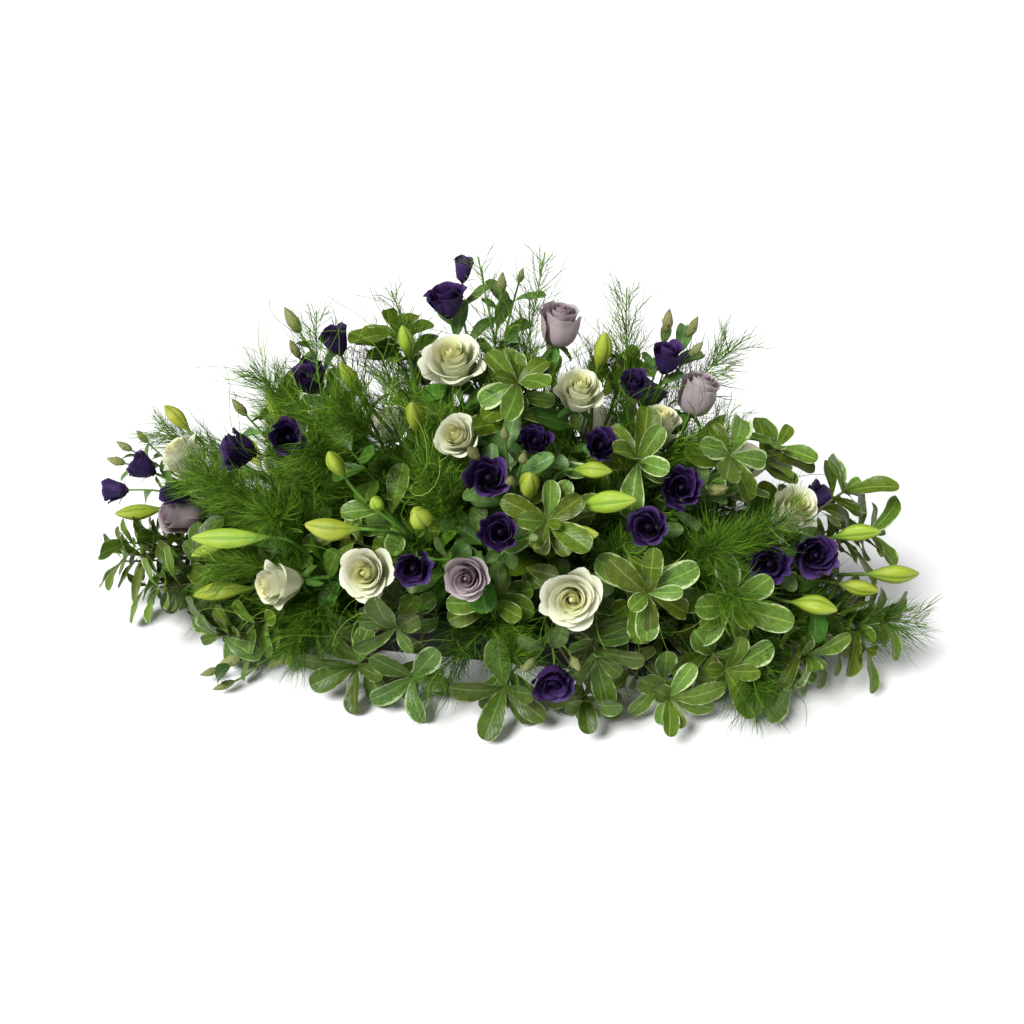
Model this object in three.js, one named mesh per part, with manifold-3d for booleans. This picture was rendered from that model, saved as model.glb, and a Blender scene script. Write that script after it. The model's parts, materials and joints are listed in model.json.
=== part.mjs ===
// A funeral casket spray, about one metre long: white and lilac roses, purple
// lisianthus, unopened lilies, variegated pittosporum and asparagus fern, each
// cut stem standing in a block of wet floral foam in a low black tray.
// Millimetres, +Z up, +X along the spray. The origin is the middle of the
// tray's underside, which is the flat face that the spray rests on.
import * as THREE from "three";
import { mergeVertices } from "three/addons/utils/BufferGeometryUtils.js";
import Module from "manifold-3d";

const wasm = await Module();
wasm.setup();

// Driving sizes of what holds the stems
const TRAY = { long: 500, deep: 210, tall: 45, wall: 2.5, corner: 60, lip: 5, lipTall: 3 };
const FOAM = { long: 460, deep: 120, tall: 88 };
const GAP = 0.3;
const FOAM_TOP = TRAY.wall + GAP + FOAM.tall;
const STEM_DEPTH = 30; // how far a cut stem goes into the foam
const STEM_OUT = 9; // how far it comes straight out again
const TABLE_CLEAR = 1.5; // foliage stays this far above the table

// The stems come from a line inside the foam, and fan out from there. A stem
// that finds no room is moved by steps along and across the foam.
const SOURCE = {
  alongShare: 0.45,
  acrossShare: 0.14,
  mostAlong: 195,
  mostAcross: 22,
  tall: 62,
  halfLong: 210,
  halfDeep: 45,
  leastRise: 0.12,
  stepAlong: 9,
  stepAcross: 7,
  moves: 6,
};

// Room kept round stems, shoots, and the tray and foam
const ROOM = { stem: 1.6, shoot: 1.2, side: 3, top: 2, check: 5 };

// Roses: middle of the bloom, the way it faces, its width and height
const WHITE_ROSES = [
  { at: [-128, -182, 172], face: [-0.1, -0.85, 0.5], wide: 66, tall: 46 },
  { at: [95, -190, 170], face: [0.05, -0.88, 0.45], wide: 70, tall: 46 },
  { at: [-245, -150, 122], face: [-0.85, -0.5, 0.05], wide: 58, tall: 52 },
  { at: [80, -48, 338], face: [0.15, -0.45, 0.88], wide: 56, tall: 50 },
  { at: [322, -42, 210], face: [0.35, -0.35, 0.87], wide: 58, tall: 52 },
  { at: [-405, 5, 190], face: [-0.6, -0.1, 0.8], wide: 60, tall: 48 },
  { at: [-62, -22, 350], face: [-0.05, -0.4, 0.9], wide: 76, tall: 54 },
  { at: [-42, -98, 300], face: [-0.25, -0.7, 0.65], wide: 52, tall: 44 },
  { at: [168, -20, 288], face: [0.2, -0.1, 0.95], wide: 56, tall: 48 },
  { at: [-190, 160, 165], face: [-0.35, 0.85, 0.45], wide: 66, tall: 46 },
  { at: [75, 185, 180], face: [0.1, 0.9, 0.42], wide: 68, tall: 46 },
  { at: [270, 110, 180], face: [0.5, 0.65, 0.55], wide: 60, tall: 48 },
];
const LILAC_ROSES = [
  { at: [-16, -192, 186], face: [0, -0.9, 0.44], wide: 52, tall: 44 },
  { at: [50, 22, 385], face: [0.08, -0.08, 1], wide: 46, tall: 50 },
  { at: [207, 22, 312], face: [0.25, 0.05, 0.95], wide: 46, tall: 50 },
  { at: [-408, -36, 128], face: [-0.92, -0.3, 0.25], wide: 46, tall: 52 },
];

// Lisianthus: each cut stem forks to its blooms and its closed buds
const LISIANTHUS = [
  {
    blooms: [
      { at: [-507, 0, 132], face: [-1, -0.1, -0.1], wide: 32, tall: 34 },
      { at: [-466, 4, 168], face: [-0.8, -0.2, 0.6], wide: 38, tall: 34 },
      { at: [-400, -48, 166], face: [-0.5, -0.6, 0.6], wide: 30, tall: 34 },
    ],
    buds: [
      { at: [-515, 30, 158], face: [-1, 0.1, 0.15], long: 26 },
      { at: [-508, 45, 172], face: [-0.9, 0.2, 0.35], long: 24 },
      { at: [-490, 62, 178], face: [-0.7, 0.3, 0.5], long: 22 },
    ],
  },
  {
    blooms: [
      { at: [-325, -22, 218], face: [-0.75, -0.45, 0.35], wide: 48, tall: 40 },
      { at: [-252, -52, 258], face: [0.35, -0.75, 0.45], wide: 44, tall: 36 },
    ],
    buds: [{ at: [-330, 5, 262], face: [-0.6, 0, 0.8], long: 26 }],
  },
  {
    blooms: [
      { at: [-240, 8, 306], face: [-0.3, -0.35, 0.9], wide: 42, tall: 38 },
      { at: [-206, 12, 352], face: [-0.25, -0.2, 1], wide: 34, tall: 34 },
    ],
    buds: [
      { at: [-262, 30, 368], face: [-0.5, 0.1, 0.85], long: 34 },
      { at: [-256, 14, 336], face: [-0.4, 0, 0.9], long: 24 },
    ],
  },
  {
    blooms: [
      { at: [-76, 24, 406], face: [-0.1, -0.15, 1], wide: 44, tall: 38 },
      { at: [-62, 40, 436], face: [0.1, 0.1, 1], wide: 22, tall: 30 },
    ],
    buds: [
      { at: [-18, 40, 424], face: [0.1, 0.1, 1], long: 26 },
      { at: [2, 52, 430], face: [0.25, 0.15, 0.95], long: 18 },
    ],
  },
  {
    blooms: [
      { at: [-4, -128, 274], face: [0.1, -0.75, 0.65], wide: 46, tall: 38 },
      { at: [40, -98, 302], face: [0.1, -0.6, 0.75], wide: 34, tall: 34 },
    ],
    buds: [
      { at: [-16, -140, 303], face: [-0.2, -0.6, 0.75], long: 28 },
      { at: [10, -112, 318], face: [0, -0.4, 0.9], long: 22 },
      { at: [18, -150, 284], face: [0.2, -0.7, 0.6], long: 24 },
      { at: [34, -140, 306], face: [0.2, -0.5, 0.8], long: 22 },
    ],
  },
  {
    blooms: [
      { at: [-76, -190, 190], face: [0.1, -0.9, 0.35], wide: 40, tall: 34 },
      { at: [16, -178, 236], face: [0.05, -0.8, 0.6], wide: 40, tall: 34 },
    ],
    buds: [{ at: [52, -182, 236], face: [0.5, -0.7, 0.5], long: 20 }],
  },
  {
    fork: 0.8,
    blooms: [],
    buds: [
      { at: [-304, -178, 26], face: [-0.85, -0.5, -0.15], long: 28, wide: 12 },
      { at: [-326, -192, 17], face: [-0.9, -0.4, -0.2], long: 22, wide: 8 },
      { at: [-303, -209, 14], face: [-0.8, -0.6, -0.1], long: 26, wide: 8 },
      { at: [-249, -170, 26], face: [-0.7, -0.7, -0.15], long: 28, wide: 12 },
    ],
  },
  {
    blooms: [{ at: [82, -232, 92], face: [0.1, -0.85, -0.1], wide: 44, tall: 34 }],
    buds: [
      { at: [54, -228, 104], face: [-0.4, -0.9, 0], long: 26 },
      { at: [104, -228, 112], face: [0.4, -0.9, 0.1], long: 26 },
    ],
  },
  {
    blooms: [
      { at: [110, -92, 300], face: [0.1, -0.7, 0.7], wide: 34, tall: 36 },
      { at: [170, 28, 352], face: [0.15, -0.1, 1], wide: 36, tall: 38 },
      { at: [138, -14, 336], face: [-0.1, -0.4, 0.9], wide: 30, tall: 32 },
    ],
    buds: [
      { at: [168, 44, 390], face: [0.1, 0.1, 1], long: 28 },
      { at: [196, 50, 382], face: [0.4, 0.2, 0.9], long: 26 },
      { at: [202, 34, 362], face: [0.6, 0, 0.8], long: 24 },
    ],
  },
  {
    blooms: [
      { at: [198, -92, 256], face: [0.1, -0.8, 0.6], wide: 44, tall: 36 },
      { at: [168, -138, 232], face: [-0.1, -0.8, 0.6], wide: 44, tall: 38 },
    ],
    buds: [
      { at: [238, -82, 252], face: [0.7, -0.4, 0.5], long: 28 },
      { at: [252, -64, 262], face: [0.8, -0.2, 0.5], long: 24 },
    ],
  },
  {
    blooms: [
      { at: [350, -70, 172], face: [0.2, -0.85, 0.5], wide: 48, tall: 38 },
      { at: [300, -106, 178], face: [-0.1, -0.85, 0.45], wide: 42, tall: 38 },
    ],
    buds: [],
  },
  {
    blooms: [
      { at: [-300, 96, 190], face: [-0.5, 0.7, 0.5], wide: 44, tall: 38 },
      { at: [-130, 120, 270], face: [-0.2, 0.7, 0.7], wide: 40, tall: 36 },
    ],
    buds: [{ at: [-215, 118, 245], face: [-0.4, 0.7, 0.6], long: 26 }],
  },
  {
    blooms: [
      { at: [150, 130, 250], face: [0.3, 0.75, 0.6], wide: 44, tall: 38 },
      { at: [10, 140, 265], face: [0, 0.8, 0.6], wide: 40, tall: 36 },
      { at: [360, 62, 165], face: [0.7, 0.6, 0.35], wide: 40, tall: 36 },
    ],
    buds: [{ at: [206, 112, 248], face: [0.5, 0.6, 0.6], long: 26 }],
  },
];

// Lilies in bud: each cut stem forks to its closed buds and carries long leaves
const LILIES = [
  {
    buds: [
      { at: [-300, -138, 172], face: [-0.97, -0.1, -0.05], long: 92, wide: 24 },
      { at: [-318, -140, 96], face: [-0.95, -0.15, -0.15], long: 72, wide: 22 },
      { at: [-340, -112, 132], face: [-0.9, -0.3, -0.2], long: 44, wide: 15 },
    ],
  },
  {
    buds: [
      { at: [-420, 30, 226], face: [-0.5, 0.2, 0.85], long: 46, wide: 19 },
      { at: [-460, -30, 130], face: [-0.95, -0.2, 0.1], long: 60, wide: 20 },
      { at: [-290, 20, 250], face: [-0.4, 0.2, 0.9], long: 60, wide: 20 },
      { at: [-350, 76, 160], face: [-0.6, 0.7, 0.3], long: 66, wide: 21 },
    ],
  },
  {
    buds: [
      { at: [-172, -158, 212], face: [-0.97, -0.1, 0.05], long: 62, wide: 25 },
      { at: [-176, -112, 262], face: [-0.35, -0.2, 0.9], long: 42, wide: 19 },
      { at: [-72, -168, 238], face: [-0.05, -0.62, 0.75], long: 44, wide: 25 },
      { at: [-124, -142, 236], face: [-0.4, -0.4, 0.8], long: 24, wide: 16 },
    ],
  },
  {
    buds: [
      { at: [-94, -84, 312], face: [0, -0.35, 0.94], long: 52, wide: 20 },
      { at: [-118, -10, 368], face: [-0.1, -0.2, 1], long: 44, wide: 18 },
      { at: [-185, -10, 318], face: [-0.4, -0.2, 0.9], long: 48, wide: 18 },
    ],
  },
  {
    buds: [
      { at: [42, -142, 272], face: [0.05, -0.4, 0.9], long: 52, wide: 22 },
      { at: [122, -132, 254], face: [0.94, -0.1, 0.3], long: 66, wide: 24 },
      { at: [104, -110, 280], face: [0.95, -0.2, 0.15], long: 44, wide: 18 },
      { at: [100, -162, 232], face: [0.85, -0.3, 0.3], long: 40, wide: 18 },
    ],
  },
  {
    buds: [
      { at: [98, 10, 362], face: [0.15, 0, 1], long: 50, wide: 21 },
      { at: [118, 96, 300], face: [0.2, 0.55, 0.8], long: 60, wide: 22 },
      { at: [225, 100, 225], face: [0.6, 0.6, 0.5], long: 60, wide: 22 },
      { at: [30, 120, 320], face: [0, 0.5, 0.85], long: 50, wide: 20 },
    ],
  },
  {
    buds: [
      { at: [352, -112, 132], face: [0.98, -0.15, 0], long: 52, wide: 22 },
      { at: [404, -62, 128], face: [0.97, -0.1, -0.05], long: 46, wide: 19 },
      { at: [446, -20, 122], face: [0.97, 0.1, 0.05], long: 62, wide: 22 },
      { at: [400, -12, 166], face: [0.95, 0, 0.25], long: 56, wide: 20 },
    ],
  },
];

// Pittosporum: each cut sprig forks to whorls of leaves
const PITTOSPORUM = [
  {
    whorls: [
      { at: [-440, -40, 70], face: [-0.9, -0.3, -0.1] },
      { at: [-405, 60, 70], face: [-0.75, 0.65, 0.05] },
    ],
  },
  {
    whorls: [
      { at: [-375, -96, 92], face: [-0.55, -0.8, 0.3] },
      { at: [-318, -160, 48], face: [-0.6, -0.75, -0.05] },
    ],
  },
  {
    whorls: [
      { at: [-96, -200, 116], face: [0.1, -0.8, -0.5] },
      { at: [-150, -180, 40], face: [-0.45, -0.85, 0] },
      { at: [-82, -192, 42], face: [0.1, -1, 0] },
    ],
  },
  {
    whorls: [
      { at: [22, -196, 44], face: [0, -1, 0] },
      { at: [122, -200, 110], face: [0.35, -0.8, -0.45] },
      { at: [112, -196, 42], face: [0.2, -1, 0] },
    ],
  },
  {
    whorls: [
      { at: [172, -172, 172], face: [0.25, -0.85, 0.4] },
      { at: [204, -184, 44], face: [0.25, -0.95, 0] },
    ],
  },
  {
    whorls: [
      { at: [262, -164, 74], face: [0.45, -0.85, 0.05] },
      { at: [262, -138, 142], face: [0.35, -0.8, 0.45] },
      { at: [352, -124, 74], face: [0.75, -0.6, -0.15] },
    ],
  },
  {
    whorls: [
      { at: [408, -70, 84], face: [0.85, -0.45, -0.1] },
      { at: [382, 22, 200], face: [0.75, 0.1, 0.65] },
      { at: [420, 34, 140], face: [0.9, 0.3, 0.25] },
    ],
  },
  {
    whorls: [
      { at: [302, 24, 252], face: [0.55, 0.1, 0.85] },
      { at: [248, -40, 272], face: [0.35, -0.45, 0.8] },
    ],
  },
  {
    whorls: [
      { at: [62, -158, 242], face: [0.05, -0.85, 0.5] },
      { at: [150, -78, 276], face: [0.2, -0.6, 0.75] },
    ],
  },
  {
    whorls: [
      { at: [14, -50, 346], face: [0.1, -0.5, 0.85] },
      { at: [130, 40, 326], face: [0.3, 0.3, 0.9] },
      { at: [-140, 40, 352], face: [-0.3, 0.2, 0.9] },
    ],
  },
  {
    whorls: [
      { at: [-270, 130, 80], face: [-0.5, 0.85, 0.1] },
      { at: [-130, 196, 90], face: [-0.2, 0.95, 0] },
      { at: [-290, 60, 236], face: [-0.5, 0.5, 0.7] },
    ],
  },
  {
    whorls: [
      { at: [10, 210, 96], face: [0.05, 1, 0] },
      { at: [160, 188, 96], face: [0.3, 0.95, 0] },
      { at: [310, 120, 96], face: [0.6, 0.8, 0.05] },
    ],
  },
];

// Asparagus fern: each cut frond forks to plumes, which reach these tips
const FERNS = [
  { tips: [[-345, -95, 235], [-385, -60, 205], [-255, -125, 195]] },
  { tips: [[-330, -150, 140], [-215, -195, 70]] },
  { tips: [[-300, -20, 330], [-225, 10, 390], [-230, -75, 270]] },
  { tips: [[-140, 20, 415], [-185, -70, 320]] },
  { tips: [[-40, 20, 460], [30, 40, 462]] },
  { tips: [[120, 60, 420], [250, 40, 372]] },
  { tips: [[330, -80, 235], [270, -170, 175], [240, -135, 215]] },
  { tips: [[484, -72, 92], [300, -190, 60]] },
  { tips: [[-60, -225, 62], [40, -215, 100]] },
  { tips: [[-330, 128, 185], [-470, 60, 195]] },
];

// Sizes that repeat over the plants
const ROSE_STEM = 2.6;
const LISIANTHUS_FORK = { stem: 1.7, shoot: 1.2, steps: 2, fork: 0.55 };
const LILY_FORK = { stem: 2.6, shoot: 1.5, steps: 2, fork: 0.55 };
const SPRIG_FORK = { stem: 2.2, shoot: 1.5, steps: 2, fork: 0.5 };
const FERN_FORK = { stem: 1.6, shoot: 1, steps: 4, fork: 0.45 };
const SPRIG_LEAF = {
  count: 6,
  long: 72,
  wide: 32,
  thick: 1.3,
  spread: 0.95,
  outline: [1.1, 5],
  rows: [0.66, 0.93],
};
const LILY_LEAF = {
  count: 4,
  long: 88,
  wide: 20,
  thick: 1.3,
  spread: 0.8,
  outline: [0.6, 2],
  rows: [0.35, 0.75],
};
const NEEDLES = {
  joints: 6,
  long: 46,
  foot: 2.6,
  twist: 0.7,
  checks: [0.12, 0.24, 0.36, 0.48, 0.6, 0.72, 0.86, 1],
};

// A whorl's leaves rise from the side facets of this knob
const KNOB = { low: 0.5, high: 4, lowRadius: 2.8, highRadius: 2.3, room: 9 };

// Where the seeded draws of each kind start
const SEEDS = { sprigs: 104, lilies: 200, ferns: 300 };

const COLOURS = {
  whiteRose: 0xeef0d6,
  lilacRose: 0xb9a3b0,
  lisianthus: 0x3b2468,
  lily: 0xa9bf3c,
  pittosporum: 0x55803a,
  fern: 0x3f7d2a,
  tray: 0x16181a,
  foam: 0x2f5a3a,
};

// Vectors are plain arrays of three numbers
const add = (a, b, k = 1) => [a[0] + b[0] * k, a[1] + b[1] * k, a[2] + b[2] * k];
const sub = (a, b) => add(a, b, -1);
const scale = (a, k) => [a[0] * k, a[1] * k, a[2] * k];
const dot = (a, b) => a[0] * b[0] + a[1] * b[1] + a[2] * b[2];
const cross = (a, b) => [
  a[1] * b[2] - a[2] * b[1],
  a[2] * b[0] - a[0] * b[2],
  a[0] * b[1] - a[1] * b[0],
];
const size = (a) => Math.sqrt(dot(a, a));
const unit = (a) => scale(a, 1 / size(a));
const mix = (a, b, t) => add(scale(a, 1 - t), b, t);
const clamp = (x, low, high) => Math.min(high, Math.max(low, x));

// Two directions square to an axis
function sidesOf(axis) {
  const level = Math.abs(axis[2]) < 0.9 ? [0, 0, 1] : [1, 0, 0];
  const u = unit(cross(level, axis));
  return [u, cross(axis, u)];
}

// Seeded draws from 0 to 1, the same on every run
function drawsFrom(seed) {
  const most = 2147483647;
  let state = (seed * 7919) % most;
  return () => {
    state = (state * 48271) % most;
    return state / most;
  };
}

// The space that the plants take up, as balls [x, y, z, radius] kept in cells.
// A stem's balls carry its owner's name, so that its own leaves may touch it.
class Space {
  constructor(cell) {
    this.cell = cell;
    this.cells = new Map();
  }
  keysOf([x, y, z, r]) {
    const keys = [];
    const span = (v) => [Math.floor((v - r) / this.cell), Math.floor((v + r) / this.cell)];
    const [[x0, x1], [y0, y1], [z0, z1]] = [span(x), span(y), span(z)];
    for (let i = x0; i <= x1; i++)
      for (let j = y0; j <= y1; j++)
        for (let k = z0; k <= z1; k++) keys.push(`${i},${j},${k}`);
    return keys;
  }
  take(balls, owner = "") {
    for (const ball of balls)
      for (const key of this.keysOf(ball)) {
        if (!this.cells.has(key)) this.cells.set(key, []);
        this.cells.get(key).push([ball, owner]);
      }
  }
  isClear(balls, owner = "") {
    return balls.every((a) =>
      this.keysOf(a).every((key) =>
        (this.cells.get(key) ?? []).every(
          ([b, other]) =>
            (owner && other === owner) ||
            (a[0] - b[0]) ** 2 + (a[1] - b[1]) ** 2 + (a[2] - b[2]) ** 2 >= (a[3] + b[3]) ** 2,
        ),
      ),
    );
  }
}
const space = new Space(18);

// True for a ball above the table and clear of the tray
function isOffTray([x, y, z, r]) {
  const margin = ROOM.side + r;
  const inTray = Math.abs(x) < TRAY.long / 2 + margin && Math.abs(y) < TRAY.deep / 2 + margin;
  return z - r > TABLE_CLEAR && !(inTray && z < TRAY.tall + ROOM.top + r);
}

// True for a ball that is clear of the foam as well
function isOutside([x, y, z, r]) {
  const margin = ROOM.top + r;
  const inFoam = Math.abs(x) < FOAM.long / 2 + margin && Math.abs(y) < FOAM.deep / 2 + margin;
  return isOffTray([x, y, z, r]) && !(inFoam && z < FOAM_TOP + margin);
}

// Points of a cubic curve, with its directions
function curve(p0, p1, p2, p3, steps) {
  const out = [];
  for (let i = 0; i <= steps; i++) {
    const t = i / steps;
    const s = 1 - t;
    const p = add(add(scale(p0, s * s * s), p1, 3 * s * s * t), add(scale(p2, 3 * s * t * t), p3, t * t * t));
    const d = add(add(scale(sub(p1, p0), s * s), sub(p2, p1), 2 * s * t), sub(p3, p2), t * t);
    out.push({ p, d: unit(d) });
  }
  return out;
}

// Balls along a path of points, about every `every` millimetres
function ballsAlong(path, radius, every = ROOM.check) {
  const balls = [];
  for (let i = 1; i < path.length; i++) {
    const a = path[i - 1].p;
    const b = path[i].p;
    const n = Math.max(1, Math.round(size(sub(b, a)) / every));
    for (let k = 1; k <= n; k++) balls.push([...mix(a, b, k / n), radius]);
  }
  return balls;
}

// Where a stem aimed at `target` comes from, moved along and across the foam
function sourceFor(target, along, across) {
  const x = clamp(target[0] * SOURCE.alongShare, -SOURCE.mostAlong, SOURCE.mostAlong) + along;
  const y = clamp(target[1] * SOURCE.acrossShare, -SOURCE.mostAcross, SOURCE.mostAcross) + across;
  const { halfLong, halfDeep, tall } = SOURCE;
  return [clamp(x, -halfLong, halfLong), clamp(y, -halfDeep, halfDeep), tall];
}

// The cut stem from inside the foam to `target`, arriving along `face`
function stemPath(target, face, along, across, steps) {
  const source = sourceFor(target, along, across);
  const aim = sub(target, source);
  const start = unit([aim[0], aim[1], Math.max(aim[2], SOURCE.leastRise * size(aim))]);
  const sides = [Math.sign(start[0]) * FOAM.long * 0.5, Math.sign(start[1]) * FOAM.deep * 0.5, FOAM_TOP];
  const ways = sides.map((side, i) => (side - source[i]) / start[i]);
  const reach = Math.min(...ways.filter((t) => t > 0));
  const foot = add(source, start, reach - STEM_DEPTH);
  const mouth = add(source, start, reach + STEM_OUT);
  const far = size(sub(target, mouth));
  const path = curve(mouth, add(mouth, start, 0.35 * far), add(target, face, -0.3 * far), target, steps);
  return [{ p: foot, d: start }, ...path];
}

// The first free way for a stem, trying sources ever further from the best one
function findStem(name, target, face, radius, steps = 3) {
  for (let ring = 0; ring <= SOURCE.moves; ring++)
    for (let i = -ring; i <= ring; i++)
      for (let j = -ring; j <= ring; j++) {
        if (Math.max(Math.abs(i), Math.abs(j)) !== ring) continue;
        const path = stemPath(target, face, i * SOURCE.stepAlong, j * SOURCE.stepAcross, steps);
        const balls = ballsAlong(path, radius + ROOM.stem);
        if (balls.every(isOffTray) && space.isClear(balls, name)) {
          space.take(balls, name);
          return path;
        }
      }
  throw new Error(`${name} finds no clear way into the foam`);
}

// A side shoot from its own stem to `target`, arriving along `face`. It tries
// ever wider bows, and starts ever lower on the stem.
function sideShoot(name, starts, target, face, radius, steps) {
  for (const from of starts)
    for (const reach of [0, 0.12, 0.24, 0.36, 0.5, 0.65]) {
      const turns = reach ? 8 : 1;
      for (let k = 0; k < turns; k++) {
        const far = size(sub(target, from.p));
        const straight = unit(sub(target, from.p));
        const [u, w] = sidesOf(straight);
        const leave = unit(add(straight, from.d, 0.6));
        const turn = (2 * Math.PI * k) / turns;
        const bow = scale(add(scale(u, Math.cos(turn)), w, Math.sin(turn)), reach * far);
        const path = curve(
          from.p,
          add(add(from.p, leave, 0.35 * far), bow),
          add(add(target, face, -0.35 * far), bow),
          target,
          steps,
        );
        const balls = ballsAlong(path, radius + ROOM.shoot);
        if (balls.every(isOutside) && space.isClear(balls, name)) {
          space.take(balls, name);
          return path;
        }
      }
    }
  return null;
}

// A blade's width at share `s` of its length, as a share of its full width. The
// first power narrows its foot and the second one blunts its tip.
function bladeWidth([foot, tip], s) {
  const width = (x) => Math.pow(x, foot) * Math.sqrt(1 - Math.pow(x, tip));
  const widest = Math.pow((2 * foot) / (2 * foot + tip), 1 / tip);
  return width(clamp(s, 0, 1)) / width(widest);
}

// A point of a leaf blade that starts at `root`, runs along `way` and bends away
// from `top`: at share `s` of its length, and `t` from -1 to 1 across it
function bladePoint(leaf, s, t) {
  const { root, way, top, long, wide, bend, cup, outline } = leaf;
  const turn = bend * s;
  const p = add(add(root, way, (Math.sin(turn) / bend) * long), top, ((Math.cos(turn) - 1) / bend) * long);
  const side = cross(way, top);
  const normal = add(scale(top, Math.cos(turn)), way, Math.sin(turn));
  const half = (wide / 2) * bladeWidth(outline, s);
  return add(add(p, side, t * half), normal, cup * t * t * half);
}

function bladeBalls(leaf) {
  const balls = [];
  const rows = Math.max(3, Math.round(leaf.long / 8));
  for (let i = 0; i <= rows; i++) {
    const s = 0.18 + (0.82 * i) / rows;
    for (const t of [-0.85, -0.43, 0, 0.43, 0.85]) balls.push([...bladePoint(leaf, s, t), 2.6]);
  }
  return balls;
}

// Tries the leaf at small turns of its direction until it crosses nothing
function placeLeaf(name, root, [axis, u, w], around, spread, rest) {
  for (const swing of [0, 0.25, -0.25, 0.5, -0.5])
    for (const lift of [0, -0.22, 0.22, -0.45, 0.45, -0.7]) {
      const a = around + swing;
      const b = clamp(spread + lift, 0.2, 1.75);
      const out = add(scale(u, Math.cos(a)), w, Math.sin(a));
      const way = add(scale(axis, Math.cos(b)), out, Math.sin(b));
      const top = unit(add(axis, way, -dot(axis, way)));
      const leaf = { root, way, top, ...rest };
      const taken = bladeBalls(leaf);
      if (taken.every(isOutside) && space.isClear(taken, name)) {
        space.take(taken);
        return leaf;
      }
    }
  return null;
}

// A closed solid from vertices and faces
function solid(points, faces) {
  const mesh = new wasm.Mesh({
    numProp: 3,
    vertProperties: new Float32Array(points.flat()),
    triVerts: new Uint32Array(faces.flat()),
  });
  return new wasm.Manifold(mesh);
}

// Joins rings into a closed solid, with flat ends or a point. A ring may have
// more corners than the one before it.
function loft(rings, tip = null) {
  const points = rings.flat();
  const faces = [];
  let start = 0;
  for (let r = 0; r + 1 < rings.length; r++) {
    const [n, m] = [rings[r].length, rings[r + 1].length];
    for (let k = 0; k < m; k++) {
      const a = start + Math.floor((k * n) / m);
      const b = start + (Math.floor(((k + 1) * n) / m) % n);
      const [c, d] = [start + n + ((k + 1) % m), start + n + k];
      faces.push([a, c, d]);
      if (b !== a) faces.push([a, b, c]);
    }
    start += n;
  }
  const [first, last] = [rings[0].length, rings.at(-1).length];
  for (let k = 1; k + 1 < first; k++) faces.push([0, k + 1, k]);
  if (tip) {
    points.push(tip);
    for (let k = 0; k < last; k++) faces.push([start + k, start + ((k + 1) % last), points.length - 1]);
  } else for (let k = 1; k + 1 < last; k++) faces.push([start, start + k, start + k + 1]);
  return solid(points, faces);
}

function ringAt(p, u, w, radius, sides, phase = 0) {
  return Array.from({ length: sides }, (_, k) => {
    const a = phase + (2 * Math.PI * k) / sides;
    return add(add(p, u, radius * Math.cos(a)), w, radius * Math.sin(a));
  });
}

// Rings square to a path, without twist, and the frame at its end. A point of
// the path may have a radius `r` of its own.
function ringsOn(path, radius, sides) {
  let u = sidesOf(path[0].d)[0];
  let w = null;
  const rings = path.map(({ p, d, r }) => {
    u = unit(add(u, d, -dot(u, d)));
    w = cross(d, u);
    return ringAt(p, u, w, r ?? radius, sides);
  });
  return { rings, u, w };
}

const tube = (path, radius, sides = 3) => loft(ringsOn(path, radius, sides).rings);

// The rims and the ridge of a blade at one place along it. The ridge stands above
// the line between the rims.
function bladeRow(leaf, s) {
  const [left, right] = [-1, 1].map((t) => bladePoint(leaf, s, t));
  const middle = scale(add(left, right), 0.5);
  const ahead = sub(bladePoint(leaf, s, 0), bladePoint(leaf, s - 0.02, 0));
  const up = unit(cross(sub(right, left), ahead));
  return [right, left, add(middle, up, leaf.thick)];
}

// A shoot that ends in a whorl: a small knob with a blade raised from each of
// its side facets
function whorlSolid(path, radius, leaves, turn) {
  const n = leaves.length;
  const { rings, u, w } = ringsOn(path, radius, 3);
  const { p: foot, d: axis } = path.at(-1);
  const step = (2 * Math.PI) / n;
  const low = ringAt(add(foot, axis, KNOB.low), u, w, KNOB.lowRadius, n, turn - step / 2);
  const high = ringAt(add(foot, axis, KNOB.high), u, w, KNOB.highRadius, n, turn);
  const points = [...rings.flat(), ...low, ...high];
  const faces = [[0, 2, 1]];
  for (let r = 0; r + 1 < rings.length; r++)
    for (let k = 0; k < 3; k++) {
      const [i, j] = [r * 3 + k, r * 3 + ((k + 1) % 3)];
      faces.push([i, j, j + 3], [i, j + 3, i + 3]);
    }
  const top = (rings.length - 1) * 3;
  const base = rings.length * 3;
  leaves.forEach((leaf, k) => {
    const next = (k + 1) % n;
    const [i, j] = [Math.floor((k * 3) / n), Math.floor(((k + 1) * 3) / n) % 3].map((m) => top + m);
    faces.push([i, base + next, base + k]);
    if (j !== i) faces.push([i, j, base + next]);
    faces.push([base + next, base + n + next, base + n + k]);
    if (k > 0 && k + 1 < n) faces.push([base + n, base + n + k, base + n + k + 1]);
    let ring = [base + k, base + next, base + n + k];
    if (!leaf) {
      faces.push(ring);
      return;
    }
    for (const s of leaf.rows) {
      points.push(...bladeRow(leaf, s));
      const outer = [points.length - 3, points.length - 2, points.length - 1];
      for (let e = 0; e < 3; e++) {
        const f = (e + 1) % 3;
        faces.push([ring[e], ring[f], outer[f]], [ring[e], outer[f], outer[e]]);
      }
      ring = outer;
    }
    points.push(bladePoint(leaf, 1, 0));
    for (let e = 0; e < 3; e++) faces.push([ring[e], ring[(e + 1) % 3], points.length - 1]);
  });
  return solid(points, faces);
}

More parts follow.
